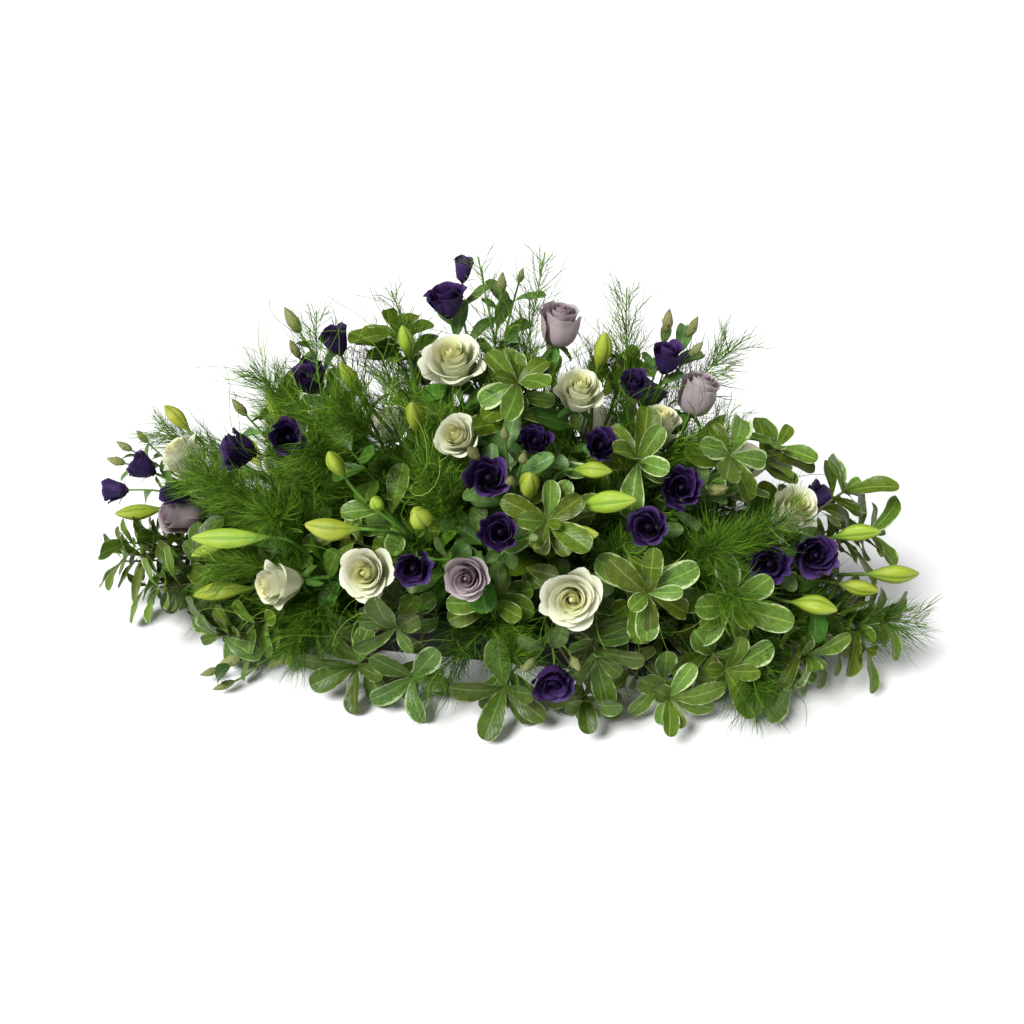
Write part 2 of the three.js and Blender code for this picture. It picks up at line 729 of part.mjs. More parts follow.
// A fern stem with a needle raised from each facet of its short joints. A point
// without needles is a plain ring of the stem.
function plumeSolid(joints, tip) {
  const points = [];
  const faces = [];
  let last = -1;
  for (const { p, d, u, w, r, needles } of joints) {
    for (const ahead of needles ? [-NEEDLES.foot, NEEDLES.foot] : [0]) {
      points.push(...ringAt(add(p, d, ahead), u, w, r, 3));
      const base = points.length - 3;
      for (let k = 0; k < 3; k++) {
        const next = (k + 1) % 3;
        if (last < 0) continue;
        const quad = [last + k, last + next, base + next, base + k];
        const needle = ahead > 0 && needles[k];
        if (needle) {
          points.push(needle);
          for (let e = 0; e < 4; e++) faces.push([quad[e], quad[(e + 1) % 4], points.length - 1]);
        } else faces.push([quad[0], quad[1], quad[2]], [quad[0], quad[2], quad[3]]);
      }
      if (last < 0) faces.push([base, base + 2, base + 1]);
      last = base;
    }
  }
  points.push(tip);
  for (let k = 0; k < 3; k++) faces.push([last + k, last + ((k + 1) % 3), points.length - 1]);
  return solid(points, faces);
}

// The frame that a stem gives the head on its end, whose middle it carries
function headFrame(path, radius, sides) {
  const { rings, u, w } = ringsOn(path, radius, sides);
  const { p: foot, d: axis } = path.at(-1);
  return { rings, foot, axis, u, w };
}

// A stem that ends in a bud. Profile: [share of length, radius].
function budSolid(path, radius, sides, long, profile) {
  const { rings, foot, axis, u, w } = headFrame(path, radius, 3);
  const phase = sides === 6 ? -Math.PI / 6 : 0;
  const body = profile.map(([s, r]) => ringAt(add(foot, axis, s * long), u, w, r, sides, phase));
  return loft([...rings, ...body], add(foot, axis, long));
}

// A stem that ends in a bloom of petals in layers. Each row is [radius, height,
// lap, dip, shift]: on its way round, each petal's leading edge stands out by
// `lap` over the next petal, its edges dip by `dip`, and `shift` turns a layer.
function bloomSolid(path, radius, sides, { wide, tall }, form) {
  const { rings, foot, axis, u, w } = headFrame(path, radius, sides);
  const { petals, edges, rows, middle } = form;
  const step = (2 * Math.PI) / petals;
  const layers = rows.map(([share, height, lap, dip, shift]) =>
    Array.from({ length: petals * edges.length }, (_, k) => {
      const column = k + shift;
      const edge = edges[column % edges.length];
      const petal = Math.floor(column / edges.length);
      const angle = (petal + 0.42 * edge - shift / edges.length) * step;
      const r = (wide / 2) * share * (1 + lap * edge - (lap / 3) * Math.abs(edge));
      const z = tall * (height - dip * Math.abs(edge) * (edge > 0 ? 1.25 : 0.75));
      return add(add(add(foot, axis, z), u, r * Math.cos(angle)), w, r * Math.sin(angle));
    }),
  );
  return loft([...rings, ...layers], add(foot, axis, tall * middle));
}

const mixed = (a, b, t) => a + (b - a) * t;

// A rose from its belly out to the guard petals and in to the heart. `open` is
// 1 for a full bloom and 0 for one that is still a high-centred bud.
function roseForm(open) {
  const guard = mixed(0.9, 0.7, open);
  const rows = [
    [mixed(0.62, 0.74, open), 0.24, 0.03, 0, 0],
    [1, guard, 0.1, 0.09, 0],
    [mixed(0.62, 0.72, open), guard - 0.22, 0.05, 0, 1],
    [mixed(0.7, 0.77, open), 0.88, 0.12, 0.08, 1],
    [0.44, 0.68, 0.06, 0, 2],
    [0.4, 1, 0.16, 0.07, 2],
  ];
  return { petals: 4, edges: [-1, 0, 1], rows, middle: 0.86 };
}

const LISIANTHUS_FORM = {
  petals: 5,
  edges: [-1, 1],
  rows: [
    [0.74, 0.34, 0.03, 0, 0],
    [1, 0.97, 0.14, 0.1, 0],
    [0.5, 0.6, 0.12, 0, 1],
  ],
  middle: 0.92,
};

// Balls that fill a bloom or a bud
function headBalls({ at, axis, wide, tall, kind }) {
  const r = wide / 2;
  const isBloom = kind === "rose" || kind === "lisianthus";
  const balls = isBloom
    ? [[-0.22, 0.78 * r], [0.12, 0.98 * r], [0.3, 0.94 * r]]
    : [-0.42, -0.24, -0.06, 0.12, 0.3, 0.44].map((s) => [s, r * Math.sqrt(1 - 4 * s * s) + 1.2]);
  return balls.map(([s, radius]) => [...add(at, axis, s * tall), radius]);
}

// Every bloom and bud of the plan, as one list
const withAxis = (head, owner, kind) => {
  const axis = unit(head.face);
  const tall = head.tall ?? head.long;
  return { wide: tall * 0.36, ...head, tall, axis, owner, kind };
};
const heads = [
  ...WHITE_ROSES.map((rose, i) => withAxis(rose, `white_rose_${i + 1}`, "rose")),
  ...LILAC_ROSES.map((rose, i) => withAxis(rose, `lilac_rose_${i + 1}`, "rose")),
  ...LISIANTHUS.flatMap(({ blooms, buds }, i) => [
    ...blooms.map((bloom) => withAxis(bloom, `lisianthus_${i + 1}`, "lisianthus")),
    ...buds.map((bud) => withAxis(bud, `lisianthus_${i + 1}`, "closed")),
  ]),
  ...LILIES.flatMap(({ buds }, i) => buds.map((bud) => withAxis(bud, `lily_${i + 1}`, "lily"))),
];

// Heads that the plan puts too close push each other apart
function easeApart() {
  for (let pass = 0; pass < 24; pass++)
    for (let i = 0; i < heads.length; i++)
      for (let j = i + 1; j < heads.length; j++) {
        const [a, b] = [heads[i], heads[j]];
        if (size(sub(a.at, b.at)) > 110) continue;
        let most = 0;
        let push = null;
        for (const p of headBalls(a))
          for (const q of headBalls(b)) {
            const apart = sub(p, q);
            const overlap = p[3] + q[3] - size(apart);
            if (overlap > most) [most, push] = [overlap, unit(apart)];
          }
        if (!push) continue;
        a.at = add(a.at, push, most / 2);
        b.at = add(b.at, push, -most / 2);
      }
}
easeApart();
for (const head of heads) {
  head.foot = add(head.at, head.axis, -head.tall / 2);
  [head.u, head.w] = sidesOf(head.axis);
  space.take(headBalls(head), head.owner);
}
const headsOf = (owner) => heads.filter((head) => head.owner === owner);

const stems = new Map(); // name of each cut stem: its path, radius and colour
const solids = new Map(); // name of each cut stem: the solids that fuse into it

function addStem(name, path, radius, colour) {
  stems.set(name, { path, radius, colour });
  solids.set(name, []);
}

const middleOf = (points) => scale(points.reduce((a, b) => add(a, b)), 1 / points.length);

// A forked stem: up to its fork, below the middle of what it carries, and from
// there a way to each of its ends. One of these is the stem's own lead, so that
// way has the whole stem; the others are side shoots.
function forkedStem(name, ends, form, colour) {
  const middle = middleOf(ends.map(({ foot }) => foot));
  const source = sourceFor(middle, 0, 0);
  const fork = mix(source, middle, form.fork);
  const path = findStem(name, fork, unit(sub(middle, source)), form.stem, 2);
  addStem(name, path, form.stem, colour);
  const top = path.at(-1);
  const ways = ends.map(({ foot, axis }) => {
    const way = sideShoot(name, [top, ...path.slice(2, -1).reverse()], foot, axis, form.shoot, form.steps);
    if (!way) throw new Error(`${name} finds no way to ${foot.map(Math.round)}`);
    return way;
  });
  const lead = ways.findIndex((way) => size(sub(way[0].p, top.p)) < GAP);
  if (lead < 0) throw new Error(`${name} has no lead`);
  const trunk = path.map(({ p, d }) => ({ p, d, r: form.stem }));
  ways[lead] = [...trunk, ...ways[lead].slice(1)];
  return ways;
}

// Roses
for (const bloom of heads.filter(({ kind }) => kind === "rose")) {
  const name = bloom.owner;
  const isWhite = name.startsWith("white");
  const path = findStem(name, bloom.foot, bloom.axis, ROSE_STEM);
  addStem(name, path, ROSE_STEM, isWhite ? COLOURS.whiteRose : COLOURS.lilacRose);
  solids.get(name).push(bloomSolid(path, ROSE_STEM, 3, bloom, roseForm(isWhite ? 0.9 : 0.35)));
}

// Lisianthus
LISIANTHUS.forEach(({ fork = LISIANTHUS_FORK.fork }, i) => {
  const name = `lisianthus_${i + 1}`;
  const ends = headsOf(name);
  forkedStem(name, ends, { ...LISIANTHUS_FORK, fork }, COLOURS.lisianthus).forEach((way, k) => {
    const head = ends[k];
    const made =
      head.kind === "closed"
        ? budSolid(way, LISIANTHUS_FORK.shoot, 3, head.tall, [[0.42, head.wide / 2]])
        : bloomSolid(way, LISIANTHUS_FORK.shoot, 3, head, LISIANTHUS_FORM);
    solids.get(name).push(made);
  });
});

// Lilies
LILIES.forEach((_, i) => {
  const name = `lily_${i + 1}`;
  const ends = headsOf(name);
  forkedStem(name, ends, LILY_FORK, COLOURS.lily).forEach((way, k) => {
    const { tall, wide } = ends[k];
    const profile = [[0.26, 0.46 * wide], [0.7, 0.46 * wide]];
    solids.get(name).push(budSolid(way, LILY_FORK.shoot, 6, tall, profile));
  });
});

// Pittosporum stems come before any leaf, so that leaves keep clear of them
const sprigs = PITTOSPORUM.map(({ whorls }, i) => {
  const name = `pittosporum_${i + 1}`;
  const ends = whorls.map(({ at, face }) => ({ foot: at, axis: unit(face) }));
  const ways = forkedStem(name, ends, SPRIG_FORK, COLOURS.pittosporum);
  space.take(ends.map(({ foot, axis }) => [...add(foot, axis, KNOB.high), KNOB.room]), name);
  return { name, ways };
});

// Fern stems
const fronds = FERNS.map(({ tips }, i) => {
  const name = `fern_${i + 1}`;
  const middle = middleOf(tips);
  const source = sourceFor(middle, 0, 0);
  const fork = mix(source, middle, FERN_FORK.fork);
  const lift = [0, 0, 20];
  const ends = tips.map((tip) => ({ foot: tip, axis: unit(add(sub(tip, fork), lift)) }));
  return { name, ways: forkedStem(name, ends, FERN_FORK, COLOURS.fern) };
});

// The end of a path with its frame
function endOf(path) {
  const { u, w } = ringsOn(path, 1, 3);
  return { ...path.at(-1), u, w };
}

// A leaf for each side of a whorl, or null where it has no room
function whorlLeaves(name, { p, d, u, w }, turn, sizes, draw) {
  return Array.from({ length: sizes.count }, (_, k) => {
    const around = turn + (2 * Math.PI * k) / sizes.count + 0.3 * (draw() - 0.5);
    const spread = sizes.spread + 0.35 * draw() + (k % 2 ? 0.2 : -0.1);
    const grown = 0.8 + 0.3 * draw();
    return placeLeaf(name, p, [d, u, w], around, spread, {
      long: sizes.long * grown,
      wide: sizes.wide * grown,
      thick: sizes.thick,
      bend: 0.25 + 0.35 * draw(),
      cup: 0.04,
      outline: sizes.outline,
      rows: sizes.rows,
    });
  });
}

// Pittosporum leaves, in whorls
sprigs.forEach(({ name, ways }, i) => {
  const draw = drawsFrom(SEEDS.sprigs + i);
  for (const way of ways) {
    const turn = (draw() * 2 * Math.PI) / SPRIG_LEAF.count;
    const leaves = whorlLeaves(name, endOf(way), turn, SPRIG_LEAF, draw);
    solids.get(name).push(whorlSolid(way, SPRIG_FORK.shoot, leaves, turn));
  }
});

// Lily leaves, round the fork of each stem
LILIES.forEach((_, i) => {
  const name = `lily_${i + 1}`;
  const draw = drawsFrom(SEEDS.lilies + i);
  const { path, radius } = stems.get(name);
  const turn = (draw() * 2 * Math.PI) / LILY_LEAF.count;
  const { p, d } = path.at(-2);
  const node = [{ p: add(p, d, -4), d }, { p, d }];
  const leaves = whorlLeaves(name, endOf(node), turn, LILY_LEAF, draw);
  solids.get(name).push(whorlSolid(node, radius + GAP, leaves, turn));
});

// A point and its direction at share `s` of a path
function alongPath(path, s) {
  const at = clamp(s, 0, 1) * (path.length - 1);
  const i = Math.min(path.length - 2, Math.floor(at));
  const d = unit(mix(path[i].d, path[i + 1].d, at - i));
  return { p: mix(path[i].p, path[i + 1].p, at - i), d };
}

// Fern needles, on all sides of each rib and out to its tip. A rib's own part
// starts after the stem that leads to it.
fronds.forEach(({ name, ways }, i) => {
  const draw = drawsFrom(SEEDS.ferns + i);
  for (const way of ways) {
    const trunk = way.filter(({ r }) => r);
    const rib = way.slice(Math.max(0, trunk.length - 1));
    const { rings } = ringsOn(trunk.length ? trunk : way.slice(0, 1), 1, 3);
    const u0 = unit(sub(rings.at(-1)[0], (trunk.at(-1) ?? way[0]).p));
    const joints = trunk.map(({ p, d, r }, k) => {
      const u = unit(sub(rings[k][0], p));
      return { p, d, u, w: cross(d, u), r };
    });
    if (!trunk.length) joints.push({ ...way[0], u: u0, w: cross(way[0].d, u0), r: 1.15 });
    for (let j = 0; j < NEEDLES.joints; j++) {
      const s = 0.12 + (0.82 * j) / (NEEDLES.joints - 1);
      const { p, d } = alongPath(rib, s);
      const side = unit(add(u0, d, -dot(u0, d)));
      const turn = (j + 1) * NEEDLES.twist;
      const u = add(scale(side, Math.cos(turn)), cross(d, side), Math.sin(turn));
      const w = cross(d, u);
      const needles = [0, 1, 2].map((k) => {
        const long = NEEDLES.long * (1.1 - 0.45 * s) * (0.75 + 0.5 * draw());
        for (const lean of [0, 0.35, -0.35, 0.7, -0.7]) {
          const a = (Math.PI * (2 * k + 1)) / 3 + lean;
          const out = add(scale(u, Math.cos(a)), w, Math.sin(a));
          const ahead = unit(add(scale(d, 0.8), out, 0.7));
          const balls = NEEDLES.checks.map((t) => [...add(p, ahead, t * long), 2.4 - 0.9 * t]);
          if (!balls.every(isOutside) || !space.isClear(balls, name)) continue;
          space.take(balls);
          return add(p, ahead, long);
        }
        return null;
      });
      joints.push({ p, d, u, w, r: 1.25 - 0.5 * s, needles });
    }
    solids.get(name).push(plumeSolid(joints, rib.at(-1).p));
  }
});

// A rounded rectangle, as an outline to extrude
function roundedRectangle(long, deep, corner) {
  const shape = new THREE.Shape();
  const [x, y] = [long / 2, deep / 2];
  shape.moveTo(x - corner, -y);
  shape.absarc(x - corner, corner - y, corner, -Math.PI / 2, 0);
  shape.absarc(x - corner, y - corner, corner, 0, Math.PI / 2);
  shape.absarc(corner - x, y - corner, corner, Math.PI / 2, Math.PI);
  shape.absarc(corner - x, corner - y, corner, Math.PI, 1.5 * Math.PI);
  return shape;
}

// The solid of a three.js geometry
function solidOf(geometry) {
  const bare = geometry.clone();
  bare.deleteAttribute("normal");
  bare.deleteAttribute("uv");
  const merged = mergeVertices(bare, 1e-3);
  return new wasm.Manifold(
    new wasm.Mesh({
      numProp: 3,
      vertProperties: merged.attributes.position.array,
      triVerts: new Uint32Array(merged.index.array),
    }),
  );
}

function slab(shape, low, high) {
  const options = { depth: high - low, bevelEnabled: false, curveSegments: 2 };
  return solidOf(new THREE.ExtrudeGeometry(shape, options).translate(0, 0, low));
}

function trayShell() {
  const { long, deep, tall, wall, corner, lip, lipTall } = TRAY;
  const body = slab(roundedRectangle(long - 2 * lip, deep - 2 * lip, corner - lip), 0, tall);
  const rim = slab(roundedRectangle(long, deep, corner), tall - lipTall, tall);
  const inside = roundedRectangle(long - 2 * (lip + wall), deep - 2 * (lip + wall), corner - lip - wall);
  return body.add(rim).subtract(slab(inside, wall, tall + 1));
}

// The foam block, with a plain hole for each cut stem
function foamBlock() {
  const block = new THREE.BoxGeometry(FOAM.long, FOAM.deep, FOAM.tall);
  const holes = [...stems.values()].map(({ path, radius }) => {
    const [foot, mouth] = path;
    const deeper = { p: add(foot.p, foot.d, -GAP), d: foot.d };
    return tube([deeper, mouth], radius + 2 * GAP);
  });
  return solidOf(block.translate(0, 0, FOAM_TOP - FOAM.tall / 2)).subtract(wasm.Manifold.union(holes));
}

function meshOf(name, made, colour, roughness) {
  const { numProp, vertProperties, triVerts } = made.getMesh();
  const geometry = new THREE.BufferGeometry();
  const positions = new Float32Array((vertProperties.length / numProp) * 3);
  for (let i = 0; i * numProp < vertProperties.length; i++)
    positions.set(vertProperties.subarray(i * numProp, i * numProp + 3), i * 3);
  geometry.setAttribute("position", new THREE.BufferAttribute(positions, 3));
  geometry.setIndex(new THREE.BufferAttribute(triVerts, 1));
  const material = new THREE.MeshStandardMaterial({ color: colour, roughness, metalness: 0 });
  const mesh = new THREE.Mesh(geometry, material);
  mesh.name = name;
  return mesh;
}

// One body for each cut stem, without any scrap that holds on to nothing
function fuse(parts) {
  const bodies = wasm.Manifold.union(parts).decompose();
  return bodies.reduce((a, b) => (a.volume() > b.volume() ? a : b));
}

const spray = new THREE.Group();
spray.add(meshOf("tray", trayShell(), COLOURS.tray, 0.5));
spray.add(meshOf("foam", foamBlock(), COLOURS.foam, 0.95));
for (const [name, parts] of solids) spray.add(meshOf(name, fuse(parts), stems.get(name).colour, 0.6));

export default spray;
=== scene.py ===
"""The look of a casket spray, about one metre long: white and lilac roses, purple lisianthus, lilies
in bud, variegated pittosporum and asparagus fern, which fan out from wet foam in a low black tray.

The stems and leaves grow here by the same rule as in the solids, in the same places, and carry fine
petals, blades and needles. Lengths are in millimetres up to the point where a piece is made."""

import json
import math

import bpy
import numpy as np
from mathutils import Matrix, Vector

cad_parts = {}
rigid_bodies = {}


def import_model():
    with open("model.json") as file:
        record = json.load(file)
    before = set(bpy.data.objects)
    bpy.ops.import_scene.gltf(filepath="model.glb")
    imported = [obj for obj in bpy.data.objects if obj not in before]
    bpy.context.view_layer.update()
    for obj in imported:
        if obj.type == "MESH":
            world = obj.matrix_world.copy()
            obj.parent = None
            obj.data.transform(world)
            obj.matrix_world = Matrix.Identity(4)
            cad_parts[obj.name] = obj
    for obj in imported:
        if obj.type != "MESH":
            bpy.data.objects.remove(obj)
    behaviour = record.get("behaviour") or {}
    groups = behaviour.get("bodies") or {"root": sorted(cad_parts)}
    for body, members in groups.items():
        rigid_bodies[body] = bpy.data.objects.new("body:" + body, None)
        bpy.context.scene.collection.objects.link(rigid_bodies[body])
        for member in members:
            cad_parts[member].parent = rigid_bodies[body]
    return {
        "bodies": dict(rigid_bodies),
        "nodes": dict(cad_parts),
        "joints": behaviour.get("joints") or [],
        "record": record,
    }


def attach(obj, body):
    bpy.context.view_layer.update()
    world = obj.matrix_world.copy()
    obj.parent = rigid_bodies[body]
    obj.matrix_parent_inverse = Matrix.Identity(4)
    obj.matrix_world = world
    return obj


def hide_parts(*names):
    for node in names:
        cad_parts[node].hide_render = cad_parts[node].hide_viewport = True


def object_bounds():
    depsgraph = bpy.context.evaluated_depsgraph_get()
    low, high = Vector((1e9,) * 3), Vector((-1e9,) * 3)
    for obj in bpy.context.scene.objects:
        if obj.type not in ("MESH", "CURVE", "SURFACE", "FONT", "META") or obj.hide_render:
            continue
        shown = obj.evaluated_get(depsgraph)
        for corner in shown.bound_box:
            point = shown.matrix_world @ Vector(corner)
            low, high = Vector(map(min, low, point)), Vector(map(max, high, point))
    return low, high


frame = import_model()
CAD_BOX = [list(corner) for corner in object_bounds()]

# Driving sizes of what holds the stems
TRAY = dict(long=500, deep=210, tall=45, wall=2.5, corner=60, lip=5, lip_tall=3)
FOAM = dict(long=460, deep=120, tall=88)
GAP = 0.3
FOAM_TOP = TRAY["wall"] + GAP + FOAM["tall"]
STEM_DEPTH = 30
STEM_OUT = 9
TABLE_CLEAR = 1.5

# The line inside the foam that the stems come from, and the steps that move one that finds no room
ALONG_SHARE, ACROSS_SHARE = 0.45, 0.14
MOST_ALONG, MOST_ACROSS = 195, 22
SOURCE_TALL = 62
HALF_LONG, HALF_DEEP = 210, 45
LEAST_RISE = 0.12
STEP_ALONG, STEP_ACROSS, MOVES = 9, 7, 6
ROOM = dict(stem=1.6, shoot=1.2, side=3, top=2, check=5)

# Roses: the middle of each bloom, the way it faces, its height and its width
WHITE_ROSES = [
    ((-128, -182, 172), (-0.1, -0.85, 0.5), 46, 66), ((95, -190, 170), (0.05, -0.88, 0.45), 46, 70),
    ((-245, -150, 122), (-0.85, -0.5, 0.05), 52, 58), ((80, -48, 338), (0.15, -0.45, 0.88), 50, 56),
    ((322, -42, 210), (0.35, -0.35, 0.87), 52, 58), ((-405, 5, 190), (-0.6, -0.1, 0.8), 48, 60),
    ((-62, -22, 350), (-0.05, -0.4, 0.9), 54, 76), ((-42, -98, 300), (-0.25, -0.7, 0.65), 44, 52),
    ((168, -20, 288), (0.2, -0.1, 0.95), 48, 56), ((-190, 160, 165), (-0.35, 0.85, 0.45), 46, 66),
    ((75, 185, 180), (0.1, 0.9, 0.42), 46, 68), ((270, 110, 180), (0.5, 0.65, 0.55), 48, 60),
]
LILAC_ROSES = [
    ((-16, -192, 186), (0, -0.9, 0.44), 44, 52), ((50, 22, 385), (0.08, -0.08, 1), 50, 46),
    ((207, 22, 312), (0.25, 0.05, 0.95), 50, 46), ((-408, -36, 128), (-0.92, -0.3, 0.25), 52, 46),
]

# Lisianthus: each cut stem forks to its blooms and its closed buds. A bud without a width has the
# usual share of its height.
LISIANTHUS = [
    dict(
        blooms=[
            ((-507, 0, 132), (-1, -0.1, -0.1), 34, 32), ((-466, 4, 168), (-0.8, -0.2, 0.6), 34, 38),
            ((-400, -48, 166), (-0.5, -0.6, 0.6), 34, 30),
        ],
        buds=[
            ((-515, 30, 158), (-1, 0.1, 0.15), 26), ((-508, 45, 172), (-0.9, 0.2, 0.35), 24),
            ((-490, 62, 178), (-0.7, 0.3, 0.5), 22),
        ],
    ),
    dict(
        blooms=[
            ((-325, -22, 218), (-0.75, -0.45, 0.35), 40, 48),
            ((-252, -52, 258), (0.35, -0.75, 0.45), 36, 44),
        ],
        buds=[((-330, 5, 262), (-0.6, 0, 0.8), 26)],
    ),
    dict(
        blooms=[
            ((-240, 8, 306), (-0.3, -0.35, 0.9), 38, 42), ((-206, 12, 352), (-0.25, -0.2, 1), 34, 34),
        ],
        buds=[((-262, 30, 368), (-0.5, 0.1, 0.85), 34), ((-256, 14, 336), (-0.4, 0, 0.9), 24)],
    ),
    dict(
        blooms=[((-76, 24, 406), (-0.1, -0.15, 1), 38, 44), ((-62, 40, 436), (0.1, 0.1, 1), 30, 22)],
        buds=[((-18, 40, 424), (0.1, 0.1, 1), 26), ((2, 52, 430), (0.25, 0.15, 0.95), 18)],
    ),
    dict(
        blooms=[
            ((-4, -128, 274), (0.1, -0.75, 0.65), 38, 46), ((40, -98, 302), (0.1, -0.6, 0.75), 34, 34),
        ],
        buds=[
            ((-16, -140, 303), (-0.2, -0.6, 0.75), 28), ((10, -112, 318), (0, -0.4, 0.9), 22),
            ((18, -150, 284), (0.2, -0.7, 0.6), 24), ((34, -140, 306), (0.2, -0.5, 0.8), 22),
        ],
    ),
    dict(
        blooms=[
            ((-76, -190, 190), (0.1, -0.9, 0.35), 34, 40), ((16, -178, 236), (0.05, -0.8, 0.6), 34, 40),
        ],
        buds=[((52, -182, 236), (0.5, -0.7, 0.5), 20)],
    ),
    dict(
        blooms=[],
        buds=[
            ((-304, -178, 26), (-0.85, -0.5, -0.15), 28, 12),
            ((-326, -192, 17), (-0.9, -0.4, -0.2), 22, 8), ((-303, -209, 14), (-0.8, -0.6, -0.1), 26, 8),
            ((-249, -170, 26), (-0.7, -0.7, -0.15), 28, 12),
        ],
    ),
    dict(
        blooms=[((82, -232, 92), (0.1, -0.85, -0.1), 34, 44)],
        buds=[((54, -228, 104), (-0.4, -0.9, 0), 26), ((104, -228, 112), (0.4, -0.9, 0.1), 26)],
    ),
    dict(
        blooms=[
            ((110, -92, 300), (0.1, -0.7, 0.7), 36, 34), ((170, 28, 352), (0.15, -0.1, 1), 38, 36),
            ((138, -14, 336), (-0.1, -0.4, 0.9), 32, 30),
        ],
        buds=[
            ((168, 44, 390), (0.1, 0.1, 1), 28), ((196, 50, 382), (0.4, 0.2, 0.9), 26),
            ((202, 34, 362), (0.6, 0, 0.8), 24),
        ],
    ),
    dict(
        blooms=[
            ((198, -92, 256), (0.1, -0.8, 0.6), 36, 44), ((168, -138, 232), (-0.1, -0.8, 0.6), 38, 44),
        ],
        buds=[((238, -82, 252), (0.7, -0.4, 0.5), 28), ((252, -64, 262), (0.8, -0.2, 0.5), 24)],
    ),
    dict(
        blooms=[
            ((350, -70, 172), (0.2, -0.85, 0.5), 38, 48),
            ((300, -106, 178), (-0.1, -0.85, 0.45), 38, 42),
        ],
        buds=[],
    ),
    dict(
        blooms=[
            ((-300, 96, 190), (-0.5, 0.7, 0.5), 38, 44), ((-130, 120, 270), (-0.2, 0.7, 0.7), 36, 40),
        ],
        buds=[((-215, 118, 245), (-0.4, 0.7, 0.6), 26)],
    ),
    dict(
        blooms=[
            ((150, 130, 250), (0.3, 0.75, 0.6), 38, 44), ((10, 140, 265), (0, 0.8, 0.6), 36, 40),
            ((360, 62, 165), (0.7, 0.6, 0.35), 36, 40),
        ],
        buds=[((206, 112, 248), (0.5, 0.6, 0.6), 26)],
    ),
]

# Lilies in bud: each cut stem forks to its closed buds and carries long leaves
LILIES = [
    [
        ((-300, -138, 172), (-0.97, -0.1, -0.05), 92, 24),
        ((-318, -140, 96), (-0.95, -0.15, -0.15), 72, 22),
        ((-340, -112, 132), (-0.9, -0.3, -0.2), 44, 15),
    ],
    [
        ((-420, 30, 226), (-0.5, 0.2, 0.85), 46, 19), ((-460, -30, 130), (-0.95, -0.2, 0.1), 60, 20),
        ((-290, 20, 250), (-0.4, 0.2, 0.9), 60, 20), ((-350, 76, 160), (-0.6, 0.7, 0.3), 66, 21),
    ],
    [
        ((-172, -158, 212), (-0.97, -0.1, 0.05), 62, 25),
        ((-176, -112, 262), (-0.35, -0.2, 0.9), 42, 19),
        ((-72, -168, 238), (-0.05, -0.62, 0.75), 44, 25), ((-124, -142, 236), (-0.4, -0.4, 0.8), 24, 16),
    ],
    [
        ((-94, -84, 312), (0, -0.35, 0.94), 52, 20), ((-118, -10, 368), (-0.1, -0.2, 1), 44, 18),
        ((-185, -10, 318), (-0.4, -0.2, 0.9), 48, 18),
    ],
    [
        ((42, -142, 272), (0.05, -0.4, 0.9), 52, 22), ((122, -132, 254), (0.94, -0.1, 0.3), 66, 24),
        ((104, -110, 280), (0.95, -0.2, 0.15), 44, 18), ((100, -162, 232), (0.85, -0.3, 0.3), 40, 18),
    ],
    [
        ((98, 10, 362), (0.15, 0, 1), 50, 21), ((118, 96, 300), (0.2, 0.55, 0.8), 60, 22),
        ((225, 100, 225), (0.6, 0.6, 0.5), 60, 22), ((30, 120, 320), (0, 0.5, 0.85), 50, 20),
    ],
    [
        ((352, -112, 132), (0.98, -0.15, 0), 52, 22), ((404, -62, 128), (0.97, -0.1, -0.05), 46, 19),
        ((446, -20, 122), (0.97, 0.1, 0.05), 62, 22), ((400, -12, 166), (0.95, 0, 0.25), 56, 20),
    ],
]

# Pittosporum: the whorls of leaves that each cut sprig forks to, and the way each faces
PITTOSPORUM = [
    [((-440, -40, 70), (-0.9, -0.3, -0.1)), ((-405, 60, 70), (-0.75, 0.65, 0.05))],
    [((-375, -96, 92), (-0.55, -0.8, 0.3)), ((-318, -160, 48), (-0.6, -0.75, -0.05))],
    [
        ((-96, -200, 116), (0.1, -0.8, -0.5)), ((-150, -180, 40), (-0.45, -0.85, 0)),
        ((-82, -192, 42), (0.1, -1, 0)),
    ],
    [
        ((22, -196, 44), (0, -1, 0)), ((122, -200, 110), (0.35, -0.8, -0.45)),
        ((112, -196, 42), (0.2, -1, 0)),
    ],
    [((172, -172, 172), (0.25, -0.85, 0.4)), ((204, -184, 44), (0.25, -0.95, 0))],
    [
        ((262, -164, 74), (0.45, -0.85, 0.05)), ((262, -138, 142), (0.35, -0.8, 0.45)),
        ((352, -124, 74), (0.75, -0.6, -0.15)),
    ],
    [
        ((408, -70, 84), (0.85, -0.45, -0.1)), ((382, 22, 200), (0.75, 0.1, 0.65)),
        ((420, 34, 140), (0.9, 0.3, 0.25)),
    ],
    [((302, 24, 252), (0.55, 0.1, 0.85)), ((248, -40, 272), (0.35, -0.45, 0.8))],
    [((62, -158, 242), (0.05, -0.85, 0.5)), ((150, -78, 276), (0.2, -0.6, 0.75))],
    [
        ((14, -50, 346), (0.1, -0.5, 0.85)), ((130, 40, 326), (0.3, 0.3, 0.9)),
        ((-140, 40, 352), (-0.3, 0.2, 0.9)),
    ],
    [
        ((-270, 130, 80), (-0.5, 0.85, 0.1)), ((-130, 196, 90), (-0.2, 0.95, 0)),
        ((-290, 60, 236), (-0.5, 0.5, 0.7)),
    ],
    [((10, 210, 96), (0.05, 1, 0)), ((160, 188, 96), (0.3, 0.95, 0)), ((310, 120, 96), (0.6, 0.8, 0.05))],
]

